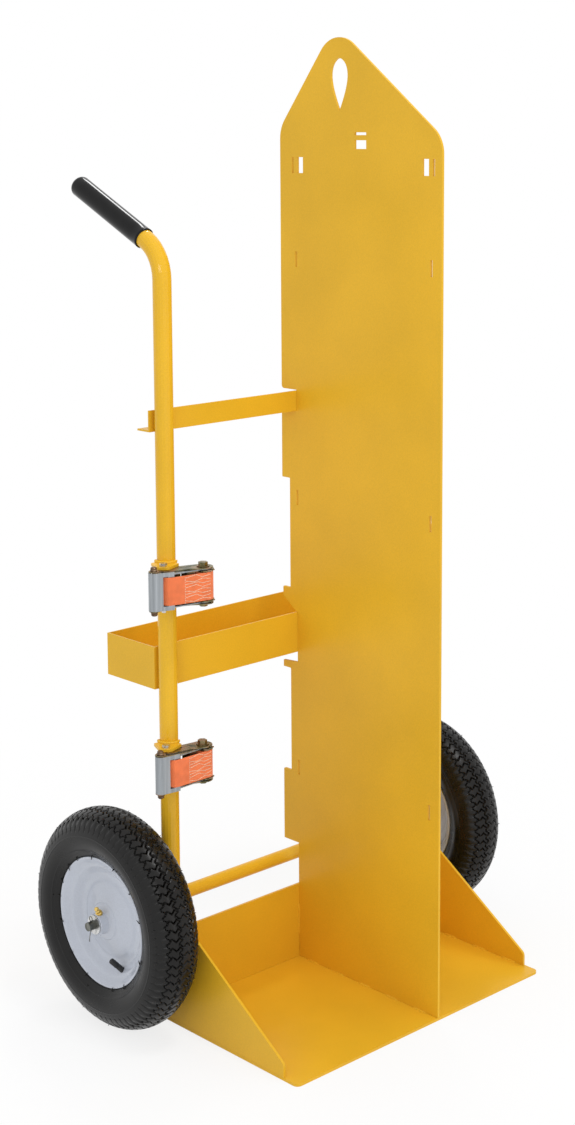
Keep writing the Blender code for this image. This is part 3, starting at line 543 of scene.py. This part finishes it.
class TORCHCART_OT_welds(bpy.types.Operator):
    """Lays weld beads where the frame's plates and pipes meet"""

    bl_idname = "torchcart.welds"
    bl_label = "Weld beads"

    def execute(self, context):
        mat = enamel("weld_enamel", context.scene.torchcart_finish.enamel, 0.42)
        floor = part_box("toe_plate")[1].z
        weld_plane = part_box("back_wall")[0].y
        barrier_low, barrier_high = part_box("fire_barrier")
        spans = [(low.z, high.z) for low, high in (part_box("top_bar"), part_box("tool_tray"))]
        inset, aside = 0.004, 0.006          # of the beads up the bar and tray
        paths = []
        for x in (barrier_low.x - WELD_LIFT, barrier_high.x + WELD_LIFT):
            paths += tack_row(x, barrier_low.y + 0.030, 0.070, 0.030, 5, floor)
            paths.append(bead_path((x, weld_plane, 0.050), (x, weld_plane, 0.110)))
        for side, sign in SIDES:
            low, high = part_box(f"gusset_{side}")
            inner = (high.x if sign < 0 else low.x) - sign * WELD_LIFT
            paths += tack_row(inner, low.y + 0.020, 0.075, 0.032, 4, floor)
            centre, radius = upright_section(side)
            paths.append(ring_path((*centre, floor), radius, 180, 360, 18))
            for foot, top in spans:
                for x in (centre.x - aside, centre.x + aside):
                    paths.append(bead_path((x, -0.0004, foot + inset), (x, -0.0004, top - inset)))
        self.tab_welds(mat)
        wire("weld_beads", paths, context.scene.torchcart_detail.bead, mat, "frame",
             2, rippled(0.55, 0.9, 1.1))
        return {"FINISHED"}

    def tab_welds(self, mat):
        """A fillet on top of each ratchet tab, round the front of its upright."""
        fillets = []
        for tag in RATCHETS:
            centre, radius = upright_section(tag.split("_")[0])
            bolt = Vector(JOINTS[f"swivel_{tag}"]["pos_m"])
            aim = math.degrees(math.atan2(bolt.y - centre.y, bolt.x - centre.x))
            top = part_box(f"ratchet_tab_{tag}")[1].z
            fillets.append(ring_path((*centre, top + 0.0008), radius + 0.0018,
                                     aim - 84, aim + 84, 17))
        wire("tab_welds", fillets, 0.0030, mat, "frame", 2,
             rippled(0.7, 0.92, 1.08))


GRIP_LEAN = math.radians(25.6)   # rise of the handles towards their ends
DOME = 0.012                     # rounding of a grip's end


class TORCHCART_OT_grips(bpy.types.Operator):
    """Moulds the two hand grips with a rolled lip and a domed end"""

    bl_idname = "torchcart.grips"
    bl_label = "Hand grips"

    def execute(self, context):
        mat = vinyl("grip_vinyl", context.scene.torchcart_finish.vinyl)
        run = Vector((0, math.cos(GRIP_LEAN), math.sin(GRIP_LEAN)))
        for side, _ in SIDES:
            node = f"grip_{side}"
            corners = [vertex.co for vertex in NODES[node].data.vertices]
            x = middle(node).x
            tip = max(corners, key=lambda p: p.y + 0.48 * p.z)
            tip = Vector((x, tip.y, tip.z))
            along = [(p - tip).dot(run) for p in corners]
            root, length = min(along), max(along) - min(along)
            bore = min((p - tip - run * reach).length for p, reach in zip(corners, along)
                       if reach < root + 0.001)
            axis = tip + run * root
            centre = sum((p - run * (p - axis).dot(run) for p in corners), Vector())
            centre /= len(corners)
            shape = turned(self.profile(bore, half_size(node).x, length), 56)
            place = facing(Vector((x, centre.y, centre.z)), run)
            add_piece(f"hand_grip_{side}", shape, place, mat, "frame", 50, [node])
        return {"FINISHED"}

    def profile(self, bore, radius, length):
        """Section of a grip from its lip to the bottom of its bore: (radius, along)."""
        body = radius - 0.0003
        line = [(bore, 0.0), (bore + 0.0006, 0.0002), (radius - 0.0006, 0.0),
                (radius, 0.0006), (radius, 0.0035), (body, 0.0045)]
        line += [(body, length * t) for t in (0.1, 0.3, 0.5, 0.7, 0.85)]
        line += [(radius - DOME + DOME * math.cos(a), length - DOME + DOME * math.sin(a))
                 for a in (math.radians(7.5 * k) for k in range(1, 12))]
        line += [(0.0045, length), (0.0035, length - 0.0006), (0.0005, length - 0.0006)]
        return line + [(0.0005, length - 0.010), (bore, length - 0.012)]


# ---- wheels ----
BAND = 0.0120                # middle of the crown to the groove beside its middle band
SHOULDER = 0.0345            # middle of the crown to the groove along its shoulder
JAG = 0.0034                 # swing of these grooves from side to side
LUG = 0.012                  # length of a shoulder lug
TREAD_END = 0.0640           # middle of the crown to the end of the lugs


def zigzag(value):
    """A triangle wave from -1 to 1 with a period of 1."""
    return 4 * abs(value - math.floor(value + 0.5)) - 1


def groove_depth(turn, across, pitch, width, depth):
    """Depth of the tread's grooves: turn in pitches, across as metres over the crown."""
    offset = abs(across)
    flip = 0.5 if across > 0 else 0.0
    jag = max(-1.0, min(1.0, 1.9 * zigzag(turn + flip)))

    def cut(distance, half, deep=1.0, edge=0.0009):
        """Share of the full depth at a distance from a groove's middle."""
        return deep * min(1.0, max(0.0, 1 - (distance - half) / edge))

    def nearest(value):
        """Distance round the tyre to the nearest whole pitch."""
        return abs(value - round(value)) * pitch

    inner, outer = BAND + JAG * jag, SHOULDER + JAG * jag
    cuts = [cut(abs(offset - inner), width / 2), cut(abs(offset - outer), width / 2)]
    kink = 0.20 * zigzag(offset / 0.014)
    if offset < inner:
        cuts.append(cut(nearest(turn + 0.25 + kink), width * 0.50))
    elif offset < outer:
        cuts.append(cut(nearest(turn + flip + kink), width * 0.50))
    else:
        past = (offset - SHOULDER) / LUG
        across_lug = nearest(turn + flip + 0.5 + 0.06 * past)
        cuts.append(cut(across_lug, width * 0.60, 0.9 - 0.6 * min(1.0, past)))
        scallop = 0.62 * max(0.0, 1 - abs(past - 0.45) / 1.1)
        cuts.append(cut(across_lug, pitch * 0.12, scallop, pitch * 0.20))
    return depth * max(cuts)


def casing_line(radius, half_width, bead_radius):
    """The tyre's round section from one bead over the tread to the other: (radius, across)."""
    foot = bead_radius - 0.0099
    mean, height = (radius + foot) / 2, (radius - foot) / 2
    half = [(mean + height * math.cos(a), half_width * math.sin(a))
            for a in (math.radians(turn) for turn in range(0, 127, 9))]
    half += [(bead_radius + 0.0028, 0.0368), (bead_radius + 0.0020, 0.0348)]
    line = smooth_line(half, 6)
    return [(r, -s) for r, s in reversed(line[1:])] + line


def side_rings(radius, tread_radius):
    """Height of the low rings moulded on the side wall."""
    rings = ((0.1265, 0.0014), (0.1330, 0.0008), (0.1585, 0.0012),
             (tread_radius - 0.0290, 0.0010))
    return sum(0.0005 * max(0.0, 1 - abs(radius - ring) / width) for ring, width in rings)


def tyre_mesh(radius, half_width, bead_radius, settings):
    """Casing with a cut tread, closed on the inside like the solid it stands for."""
    pitches = settings.pitches
    steps = pitches * 12
    pitch = math.tau * radius / pitches
    line = casing_line(radius, half_width, bead_radius)
    normals, lengths = line_normals(line), line_lengths(line)
    arcs = [length - lengths[-1] / 2 for length in lengths]
    inside = [(0.1108, 0.0283), (0.1022, 0.0209), (0.1022, -0.0209), (0.1108, -0.0283)]
    verts = []
    for i in range(steps):
        angle = math.tau * i / steps
        c, s = math.cos(angle), math.sin(angle)
        turn = pitches * i / steps
        for (r, across), (nr, na), arc in zip(line, normals, arcs):
            fade = min(1.0, max(0.0, (TREAD_END - abs(arc)) / 0.004))
            move = side_rings(r, radius)
            if fade:
                move -= fade * groove_depth(turn, arc, pitch, settings.groove,
                                            settings.tread_depth)
            verts.append(((r + nr * move) * c, (r + nr * move) * s, across + na * move))
        verts += [(r * c, r * s, across) for r, across in inside]
    return verts, skin(steps, len(line) + len(inside))


HAIRS = 26                   # vent hairs round a tyre's shoulders
FLASH = tuple((degrees, 0.00132 * size) for degrees, size in (
    (8, 3.5), (31, 2.0), (47, 4.5), (66, 3.0), (82, 2.0), (104, 4.0), (133, 2.5),
    (158, 3.5), (196, 2.0), (214, 3.0), (251, 2.5), (287, 4.0), (312, 2.0), (338, 3.0)))


class TORCHCART_OT_tyres(bpy.types.Operator):
    """Moulds both pneumatic tyres with their tread blocks and moulding flash"""

    bl_idname = "torchcart.tyres"
    bl_label = "Tyres"

    def execute(self, context):
        scene = context.scene
        colour = scene.torchcart_finish.rubber
        for side, sign in SIDES:
            size = half_size(f"tyre_{side}")
            place = along_axle(sign, middle(f"tyre_{side}"))
            bead = half_size(f"rim_{side}").z
            mat = tyre_rubber(f"tyre_rubber_{side}", colour, size.z)
            shape = tyre_mesh(size.z, size.x, bead, scene.torchcart_wheel)
            add_piece(f"treaded_tyre_{side}", shape, place, mat, f"wheel_{side}", 32,
                      [f"tyre_{side}"])
            self.flash(side, place, bead, mat)
            self.hairs(side, place, bead, size.z, mat)
        return {"FINISHED"}

    def flash(self, side, place, bead, mat):
        """Tags of rubber over the rim's edge, each at an angle and of a length."""
        paths = []
        for degrees, reach in FLASH:
            spoke = spoke_at(math.radians(degrees))
            aside = Vector((-spoke.y, spoke.x, 0))
            start = spoke * (bead + 0.0035) + Vector((0, 0, 0.0385))
            end = spoke * (bead - reach) + aside * reach + Vector((0, 0, 0.0366))
            paths.append([place @ start, place @ ((start + end) / 2), place @ end])
        wire(f"tyre_flash_{side}", paths, 0.0012, mat, f"wheel_{side}", 1,
             lambda i, count: (1.0, 0.8, 0.4)[i])

    def hairs(self, side, place, bead, radius, mat):
        """Vent hairs on both shoulders, and on the outer wall."""
        paths = []
        for k in range(HAIRS):
            spoke = spoke_at(math.tau * (k + 0.35 * (k % 3)) / HAIRS)
            face = 1 if k % 2 else -1
            root = spoke * (radius - 0.0115) + Vector((0, 0, 0.0330 * face))
            tip = root + spoke * 0.0022 + Vector((0, 0, 0.0012 * face))
            paths.append([place @ root, place @ tip])
            if k % 3 == 0:
                wall = spoke * (bead + 0.0115 + 0.004 * (k % 2)) + Vector((0, 0, 0.0425))
                paths.append([place @ wall, place @ (wall + Vector((0, 0, 0.0024)))])
        wire(f"vent_hairs_{side}", paths, 0.0006, mat, f"wheel_{side}", 1)


HUB_RADIUS = 0.0195          # outside of the hub tube
RIM_SHEET = 0.0026           # thickness of the pressed dish


def rim_line():
    """Pressed steel rim, its outboard face first and its dish's back last: (radius, across)."""
    hub = smooth_line([(0.0205, 0.0318), (0.0225, 0.0300), (0.0290, 0.0284),
                       (0.0320, 0.0274), (0.0342, 0.0250), (0.0375, 0.0238),
                       (0.0480, 0.0194), (0.0600, 0.0152)], 3)
    dish = smooth_line([(0.0660, 0.0140), (0.0700, 0.0118), (0.0740, 0.0106),
                        (0.0800, 0.0106), (0.0850, 0.0124), (0.0900, 0.0164),
                        (0.0960, 0.0216), (0.0985, 0.0232)], 3)
    cone = [(0.1000, 0.0238), (0.1030, 0.0248), (0.1085, 0.0296), (0.1115, 0.0324)]
    flange = [(0.1140, 0.0344), (0.1160, 0.0354), (0.1172, 0.0355), (0.1179, 0.0348),
              (0.1179, 0.0336), (0.1170, 0.0328), (0.1155, 0.0318), (0.1105, 0.0288),
              (0.1018, 0.0217)]
    far = [(r, -h) for r, h in reversed(flange)]
    well = [(0.1075, -0.0313), (0.0989, -0.0227), (0.0989, 0.0205)]
    back = [(r, h - RIM_SHEET) for r, h in reversed(hub + dish) if r < 0.094]
    return hub + dish + cone + flange + far + well + back


class TORCHCART_OT_rims(bpy.types.Operator):
    """Presses both rims with their hub tubes, bearings and valve stems"""

    bl_idname = "torchcart.rims"
    bl_label = "Rims"

    def execute(self, context):
        scene = context.scene
        mat = enamel("rim_enamel", scene.torchcart_finish.rim_enamel, 0.14, 0.4)
        steel = metal("bearing_steel", [(0.20, 0.19, 0.18), (0.34, 0.33, 0.32), (0.5, 0.5, 0.5)],
                      0.36)
        brass = metal("grease_brass", [(0.55, 0.36, 0.08), (0.78, 0.55, 0.16), (0.9, 0.7, 0.3)],
                      0.25)
        black = plain_rubber("valve_rubber", (0.012, 0.012, 0.013))
        ease = 0.0006                # chamfer on the ends of the hub tube
        for side, sign in SIDES:
            node = f"rim_{side}"
            centre = middle(f"tyre_{side}")
            place = along_axle(sign, centre)
            near, far = sorted((corner.x - centre.x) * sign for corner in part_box(node))
            bore = half_size(f"roller_bearing_{side}").z + 0.0003
            tube = [(HUB_RADIUS, near + ease), (HUB_RADIUS - ease, near), (bore, near),
                    (bore, far), (HUB_RADIUS - ease, far), (HUB_RADIUS, far - ease)]
            add_piece(f"pressed_rim_{side}", turned(rim_line() + tube, 112), place, mat,
                      f"wheel_{side}", 40, [node])
            paint(f"roller_bearing_{side}", steel, 0.0004)
            self.valve(side, black)
            self.grease_fitting(side, place, brass)
        return {"FINISHED"}

    def valve(self, side, mat):
        """A ribbed stem with a screwed cap along the solid it stands for."""
        node = f"valve_stem_{side}"
        points = [vertex.co.copy() for vertex in NODES[node].data.vertices]
        centre = sum(points, Vector()) / len(points)
        start = max(points, key=lambda p: (p - centre).length)
        half = [p for p in points if (p - start).length < (p - (2 * centre - start)).length]
        run = sum(half, Vector()) / len(half) - centre
        length = 2 * run.length
        run.normalize()
        if (run.x > 0) != (centre.x > 0):
            run = -run
        profile = [(0.0005, 0.0), (0.0062, 0.0), (0.0068, 0.0012), (0.0066, 0.0040),
                   (0.0054, 0.0064), (0.0051, 0.0110), (0.0051, 0.0180), (0.0047, 0.0190),
                   (0.0047, 0.0200), (0.0052, 0.0210), (0.0052, length - 0.0026),
                   (0.0045, length - 0.0008), (0.0030, length), (0.0005, length)]
        place = facing(centre - run * length / 2, run)
        add_piece(f"capped_valve_{side}", turned(profile, 24, False), place, mat,
                  f"wheel_{side}", 45, [node])

    def grease_fitting(self, side, place, mat):
        """A grease nipple in the hub tube, leaning outboard."""
        profile = [(0.0006, 0.0), (0.0060, 0.0), (0.0060, 0.0050), (0.0040, 0.0058),
                   (0.0040, 0.0102), (0.0026, 0.0114), (0.0042, 0.0132), (0.0044, 0.0152),
                   (0.0030, 0.0174), (0.0006, 0.0180)]
        out, round_hub, lean = 0.0392, math.radians(-12), Vector((0, 0, 0.7))
        hub = Matrix.Translation((0, 0, out)) @ Matrix.Rotation(round_hub, 4, "Z")
        up = place.inverted().to_3x3() @ Vector((0, 0, 1))
        foot = facing(up * (HUB_RADIUS - 0.0003), up + lean)
        add_piece(f"grease_fitting_{side}", turned(profile, 18, False), place @ hub @ foot, mat,
                  f"wheel_{side}", 40)


class TORCHCART_OT_axle(bpy.types.Operator):
    """Finishes the axle with its washers and split pins"""

    bl_idname = "torchcart.axle"
    bl_label = "Axle ends"

    def execute(self, context):
        steel = metal("axle_steel", [(0.09, 0.09, 0.08), (0.16, 0.165, 0.145),
                                     (0.28, 0.28, 0.26)], 0.34)
        zinc = metal("zinc_plate", [(0.48, 0.48, 0.46), (0.62, 0.62, 0.61),
                                    (0.78, 0.78, 0.78)], 0.30)
        paint("axle", steel, 0.0009)
        for side, _ in SIDES:
            paint(f"axle_washer_{side}", zinc, 0.0003)
            paint(f"cotter_{side}", steel)
        for tag in RATCHETS:
            paint(f"mount_bolt_{tag}", zinc, 0.0004)
        return {"FINISHED"}


# ---- ratchets ----
class RatchetPlace:
    """Places on one ratchet: u from the spool to the grip, v to the front, w up."""

    def __init__(self, tag):
        self.origin = Vector(JOINTS[f"handle_hinge_{tag}"]["pos_m"])
        self.u = Vector(JOINTS[f"handle_pawl_slide_{tag}"]["axis"]).normalized()
        self.w = Vector((0, 0, 1))
        self.v = self.w.cross(self.u)
        if self.v.y > 0:
            self.v.negate()

    def at(self, u, v, w=0.0):
        """A place on the ratchet as a point of the cart."""
        return self.origin + self.u * u + self.v * v + self.w * w


PIN_U = 0.0960               # spool's axis to the grip's pin
SLOT_U = 0.0765              # spool's axis to the grip's slot
ROLL, CORE = 0.0174, 0.0106  # middle of the webbing's outermost and innermost turns
TURNS = 3.4                  # of webbing on the spool


class TORCHCART_OT_ratchets(bpy.types.Operator):
    """Plates the steel of the four ratchets and adds their grips' ears and pin heads"""

    bl_idname = "torchcart.ratchets"
    bl_label = "Ratchets"

    def execute(self, context):
        gold = metal("yellow_zinc", [(0.10, 0.10, 0.05), (0.26, 0.215, 0.11),
                                     (0.36, 0.23, 0.15)], 0.34)
        # The handle's colour cloud is stretched upright into light and dark bands: painted
        # highlight streaks on the zinc plating.
        silver = metal("handle_zinc", [(0.30, 0.32, 0.34), (0.345, 0.37, 0.39),
                                       (0.41, 0.435, 0.46)],
                       0.36, (1, 1, 0.06), 160.0, (1, 1, 0.04))
        bronze = metal("pin_bronze", [(0.10, 0.065, 0.04), (0.21, 0.135, 0.085),
                                      (0.34, 0.25, 0.17)], 0.42)
        finishes = (("ratchet_frame", gold, 0.0004), ("spool", gold, 0.0005),
                    ("handle_pawl", gold, 0.0003), ("lock_pawl", gold, 0.0003),
                    ("ratchet_handle", silver, 0.0004))
        for tag in RATCHETS:
            for node, mat, edge in finishes:
                paint(f"{node}_{tag}", mat, edge)
            place = RatchetPlace(tag)
            self.ears(tag, place, gold)
            self.pin_heads(tag, place, bronze)
        return {"FINISHED"}

    def ears(self, tag, place, mat):
        """The rounded ends of the handle's outer leaves, above and below the grip."""
        leaf, radius = 0.0016, 0.0088        # thickness, and the rounding of the end
        outline = [(0.0865, 0.0020), (0.0950, -0.0005)]
        outline += [(PIN_U + radius * math.cos(a), 0.0112 + radius * math.sin(a))
                    for a in (math.radians(-70 + 20 * k) for k in range(10))]
        outline += [(0.0890, 0.0190), (0.0865, 0.0160)]
        count = len(outline)
        verts, faces = [], []
        for w in (0.0340, -0.0340 - leaf):
            base = len(verts)
            verts += [place.at(u, v, w + h) for h in (0.0, leaf) for u, v in outline]
            faces.append(tuple(base + i for i in range(count)))
            faces.append(tuple(base + count + i for i in reversed(range(count))))
            faces += [(base + i, base + (i + 1) % count, base + count + (i + 1) % count,
                       base + count + i) for i in range(count)]
        add_piece(f"grip_ears_{tag}", (verts, faces), None, mat, f"handle_{tag}")

    def pin_heads(self, tag, place, mat):
        """Riveted heads over both ends of the grip's pin."""
        profile = [(0.0037, 0.0), (0.0058, 0.0), (0.0062, 0.0006), (0.0062, 0.0022),
                   (0.0054, 0.0032), (0.0056, 0.0040), (0.0056, 0.0058), (0.0044, 0.0072),
                   (0.0004, 0.0075)]
        for end, sign in (("top", 1), ("foot", -1)):
            spot = place.at(PIN_U, 0.0125, sign * 0.0359)
            turn = Matrix.Identity(4) if sign > 0 else Matrix.Rotation(math.pi, 4, "X")
            add_piece(f"pin_{end}_{tag}", turned(profile, 20, False),
                      Matrix.Translation(spot) @ turn, mat, f"handle_{tag}", 40)


LEAVE, REST = (0.012, 0.0184), (0.0540, 0.0240)  # webbing off the roll and on the handle


def web_path():
    """Middle line of the webbing in (u, v): from its end in the grip to the spool."""
    line = smooth_line([(SLOT_U + 0.0098, 0.0176), (SLOT_U + 0.0042, 0.0184),
                        (SLOT_U + 0.0010, 0.0215), (SLOT_U - 0.0028, 0.0250),
                        (SLOT_U - 0.0085, 0.0254), (SLOT_U - 0.0142, 0.0251),
                        REST, (0.030, 0.0208), LEAVE], 6)
    count = round(TURNS * 30)
    for i in range(count + 1):
        angle = math.radians(84) + math.tau * TURNS * i / count
        radius = ROLL + (CORE - ROLL) * i / count
        line.append((radius * math.cos(angle), radius * math.sin(angle)))
    return line


class TORCHCART_OT_straps(bpy.types.Operator):
    """Winds the webbing on each spool, lays it over the handle and stitches it"""

    bl_idname = "torchcart.straps"
    bl_label = "Webbing"

    def execute(self, context):
        scene = context.scene
        mat = web_weave("orange_webbing", scene.torchcart_finish.webbing)
        thread = plain_rubber("stitch_thread", (0.95, 0.60, 0.44))
        for tag in RATCHETS:
            self.strap(tag, RatchetPlace(tag), mat, thread, scene.torchcart_detail)
        return {"FINISHED"}

    def strap(self, tag, place, mat, thread, detail):
        """One length of webbing with its woven edges and stitches."""
        node = f"strap_{tag}"
        low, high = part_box(node)
        width = high.z - low.z
        line = web_path()
        lengths = line_lengths(line)
        half = detail.web_thickness / 2
        selvedge = [(width / 2 - 0.0009, 0.95), (width / 2 - 0.0003, 0.55)]
        rows = [(-w, thick) for w, thick in reversed(selvedge)]
        rows += [(width * k / 12, 1.0) for k in range(-5, 6)] + selvedge
        ring = rows + [(w, -thick) for w, thick in reversed(rows)]
        verts, uvs = [], []
        for point, normal, run in zip(line, line_normals(line), lengths):
            for w, thick in ring:
                spot = Vector(point) + normal * thick * half
                verts.append(place.at(spot.x, spot.y, w))
                uvs.append((run, w))
        count = len(ring)
        faces = skin(len(line), count, looped=False)
        faces.append(tuple(range(count)))
        faces.append(tuple((len(line) - 1) * count + j for j in reversed(range(count))))
        obj = add_piece(f"webbing_{tag}", (verts, faces), None, mat, f"handle_{tag}",
                        50, [node])
        layer = obj.data.uv_layers.new(name="run")
        for loop in obj.data.loops:
            layer.data[loop.index].uv = uvs[loop.vertex_index]
        seams = self.stitches(tag, place, thread, detail)

    def stitches(self, tag, place, thread, detail):
        """A row across the fold and zigzag rows from it to the spool."""
        half = detail.web_thickness / 2
        crest, fold = 0.0018, 0.0425         # u where the roll ends and where the row lies
        slope = (REST[1] - LEAVE[1]) / (REST[0] - LEAVE[0])

        def face(u):
            """Height v of the webbing's outer face."""
            if u < crest:
                return math.sqrt(ROLL ** 2 - u * u) + half
            near = min(u, LEAVE[0])
            return ROLL + 0.098 * (near - crest) + half + slope * (u - near)

        tops = [0.0226 - 0.0041 * k for k in range(12)]
        paths = [[place.at(fold, face(fold), w), place.at(fold, face(fold), w - 0.0026)]
                 for w in tops]
        for row in range(8):
            w0 = 0.0205 - 0.0058 * row
            rise = (0.0034, -0.0028, 0.0020)[row % 3]
            bends = [(0.0415, w0), (0.0210 + 0.0040 * math.sin(2.1 * row), w0 + rise),
                     (0.0085, w0 - 0.5 * rise), (-0.0100, w0 + 0.4 * rise)]
            dense = []
            for (ua, wa), (ub, wb) in zip(bends, bends[1:]):
                for t in (i / 7 for i in range(7)):
                    u = ua + (ub - ua) * t
                    dense.append(place.at(u, face(u), wa + (wb - wa) * t))
            paths.append(dense)
        return wire(f"web_stitches_{tag}", paths, detail.stitch, thread, f"handle_{tag}",
                    1)


# ---- stage ----
def white_to_camera(tree, lit, share=1.0):
    """Mixes a lit shader with plain white for camera, glossy and transmission rays."""
    path = tree.nodes.new("ShaderNodeLightPath").outputs
    seen = math_node(tree, "MAXIMUM", path["Is Camera Ray"], path["Is Glossy Ray"])
    seen = math_node(tree, "MAXIMUM", seen, path["Is Transmission Ray"])
    glow = add_node(tree, "Emission", Color=(1, 1, 1, 1), Strength=1.0)
    mix = add_node(tree, "MixShader", Fac=math_node(tree, "MULTIPLY", seen, share))
    tree.links.new(lit, mix.inputs[1])
    tree.links.new(glow.outputs["Emission"], mix.inputs[2])
    return mix.outputs["Shader"]


CAMERA_PLACE = (-2.3718, -2.5511, 1.6106)
CAMERA_TURN = (-0.7511, 0.1425, -0.0061)     # azimuth, pitch and roll


class TORCHCART_OT_stage(bpy.types.Operator):
    """Sets the floor, the world, four lamps and the camera"""

    bl_idname = "torchcart.stage"
    bl_label = "Stage"

    def execute(self, context):
        scene = context.scene
        settings = scene.torchcart_stage
        scene.view_settings.view_transform = "Standard"
        self.floor()
        self.world(scene, settings)
        self.lamp("key_lamp", (-3.2, -2.6, 2.6), (0, -0.1, 0.8), (0.8, 0.8), settings.key)
        self.lamp("back_lamp", (1.2, 1.35, 3.7), (-0.2, 0, 0.7), (0.7, 0.7), settings.back)
        self.lamp("top_lamp", (-0.1, -1.6, 4.2), (0, 0, 0.6), (0.9, 0.9), settings.top)
        self.lamp("strip_lamp", (-0.75, -2.6, 1.0), (-0.3, 0, 1.0), (0.036, 1.9), settings.strip)
        self.camera(scene, settings)
        return {"FINISHED"}

    def floor(self):
        """A wide pale floor that fades into the white round the cart."""
        verts = [(-30, -30, 0), (30, -30, 0), (30, 30, 0), (-30, 30, 0)]
        obj = mesh_object("floor", verts, [(0, 1, 2, 3)])
        mat, tree, shader, where = new_material("pale_floor", (0.92, 0.92, 0.92), 0.9)
        shader.inputs["Specular IOR Level"].default_value = 0.0
        share = range_node(tree, length_node(tree, where), 0.80, 1.0, 0.5, 1.5)
        lit = white_to_camera(tree, shader.outputs["BSDF"], share)
        tree.links.new(lit, tree.nodes["Material Output"].inputs["Surface"])
        obj.data.materials.append(mat)

    def world(self, scene, settings):
        """An even white room."""
        world = bpy.data.worlds.new("studio")
        scene.world = world
        world.use_nodes = True
        tree = world.node_tree
        sky = tree.nodes["Background"]
        sky.inputs["Color"].default_value = (1, 1, 1, 1)
        sky.inputs["Strength"].default_value = settings.ambient
        lit = white_to_camera(tree, sky.outputs["Background"])
        tree.links.new(lit, tree.nodes["World Output"].inputs["Surface"])

    def lamp(self, name, place, aim, size, power):
        """A soft lamp, round if its two sizes are the same."""
        data = bpy.data.lights.new(name, "AREA")
        data.shape = "ELLIPSE" if size[0] == size[1] else "RECTANGLE"
        data.size, data.size_y = size
        data.energy = power
        obj = new_object(name, data)
        obj.location = place
        run = Vector(aim) - Vector(place)
        obj.rotation_euler = run.to_track_quat("-Z", "Y").to_euler()

    def camera(self, scene, settings):
        """The camera, ahead of the cart on its left."""
        data = bpy.data.cameras.new("camera")
        data.lens = settings.lens
        data.sensor_width = 36
        data.shift_y = -0.150
        obj = new_object("camera", data)
        azimuth, pitch, roll = CAMERA_TURN
        back = Vector((math.sin(azimuth) * math.cos(pitch),
                       -math.cos(azimuth) * math.cos(pitch), math.sin(pitch)))
        level = Vector((math.cos(azimuth), math.sin(azimuth), 0))
        upright = back.cross(level)
        right = level * math.cos(roll) + upright * math.sin(roll)
        up = upright * math.cos(roll) - level * math.sin(roll)
        turn = Matrix((right, up, back)).transposed().to_4x4()
        obj.matrix_world = Matrix.Translation(CAMERA_PLACE) @ turn
        scene.camera = obj


# ---- add-on ----
STEPS = (TORCHCART_OT_stage, TORCHCART_OT_frame, TORCHCART_OT_welds, TORCHCART_OT_grips,
         TORCHCART_OT_tyres, TORCHCART_OT_rims, TORCHCART_OT_axle, TORCHCART_OT_ratchets,
         TORCHCART_OT_straps)
SETTINGS = (("torchcart_finish", TORCHCART_PG_finish), ("torchcart_wheel", TORCHCART_PG_wheel),
            ("torchcart_detail", TORCHCART_PG_detail), ("torchcart_stage", TORCHCART_PG_stage))


class TORCHCART_PT_panel(bpy.types.Panel):
    """Lists the cart's settings and the operators that build it"""

    bl_idname = "TORCHCART_PT_panel"
    bl_label = "Torch Cart"
    bl_space_type = "VIEW_3D"
    bl_region_type = "UI"
    bl_category = "Torch Cart"

    def draw(self, context):
        layout = self.layout
        for name, group in SETTINGS:
            box = layout.box()
            for prop in group.__annotations__:
                box.prop(getattr(context.scene, name), prop)
        for step in STEPS:
            layout.operator(step.bl_idname)


def register():
    """Adds the settings, operators and panel."""
    for _, group in SETTINGS:
        bpy.utils.register_class(group)
    for name, group in SETTINGS:
        setattr(bpy.types.Scene, name, bpy.props.PointerProperty(type=group))
    for step in STEPS:
        bpy.utils.register_class(step)
    bpy.utils.register_class(TORCHCART_PT_panel)


def unregister():
    """Takes away what register added."""
    bpy.utils.unregister_class(TORCHCART_PT_panel)
    for step in reversed(STEPS):
        bpy.utils.unregister_class(step)
    for name, group in reversed(SETTINGS):
        delattr(bpy.types.Scene, name)
        bpy.utils.unregister_class(group)


def main():
    """Builds every piece in order."""
    register()
    for step in STEPS:
        getattr(bpy.ops.torchcart, step.bl_idname.split(".")[1])()


if __name__ == "__main__":
    main()
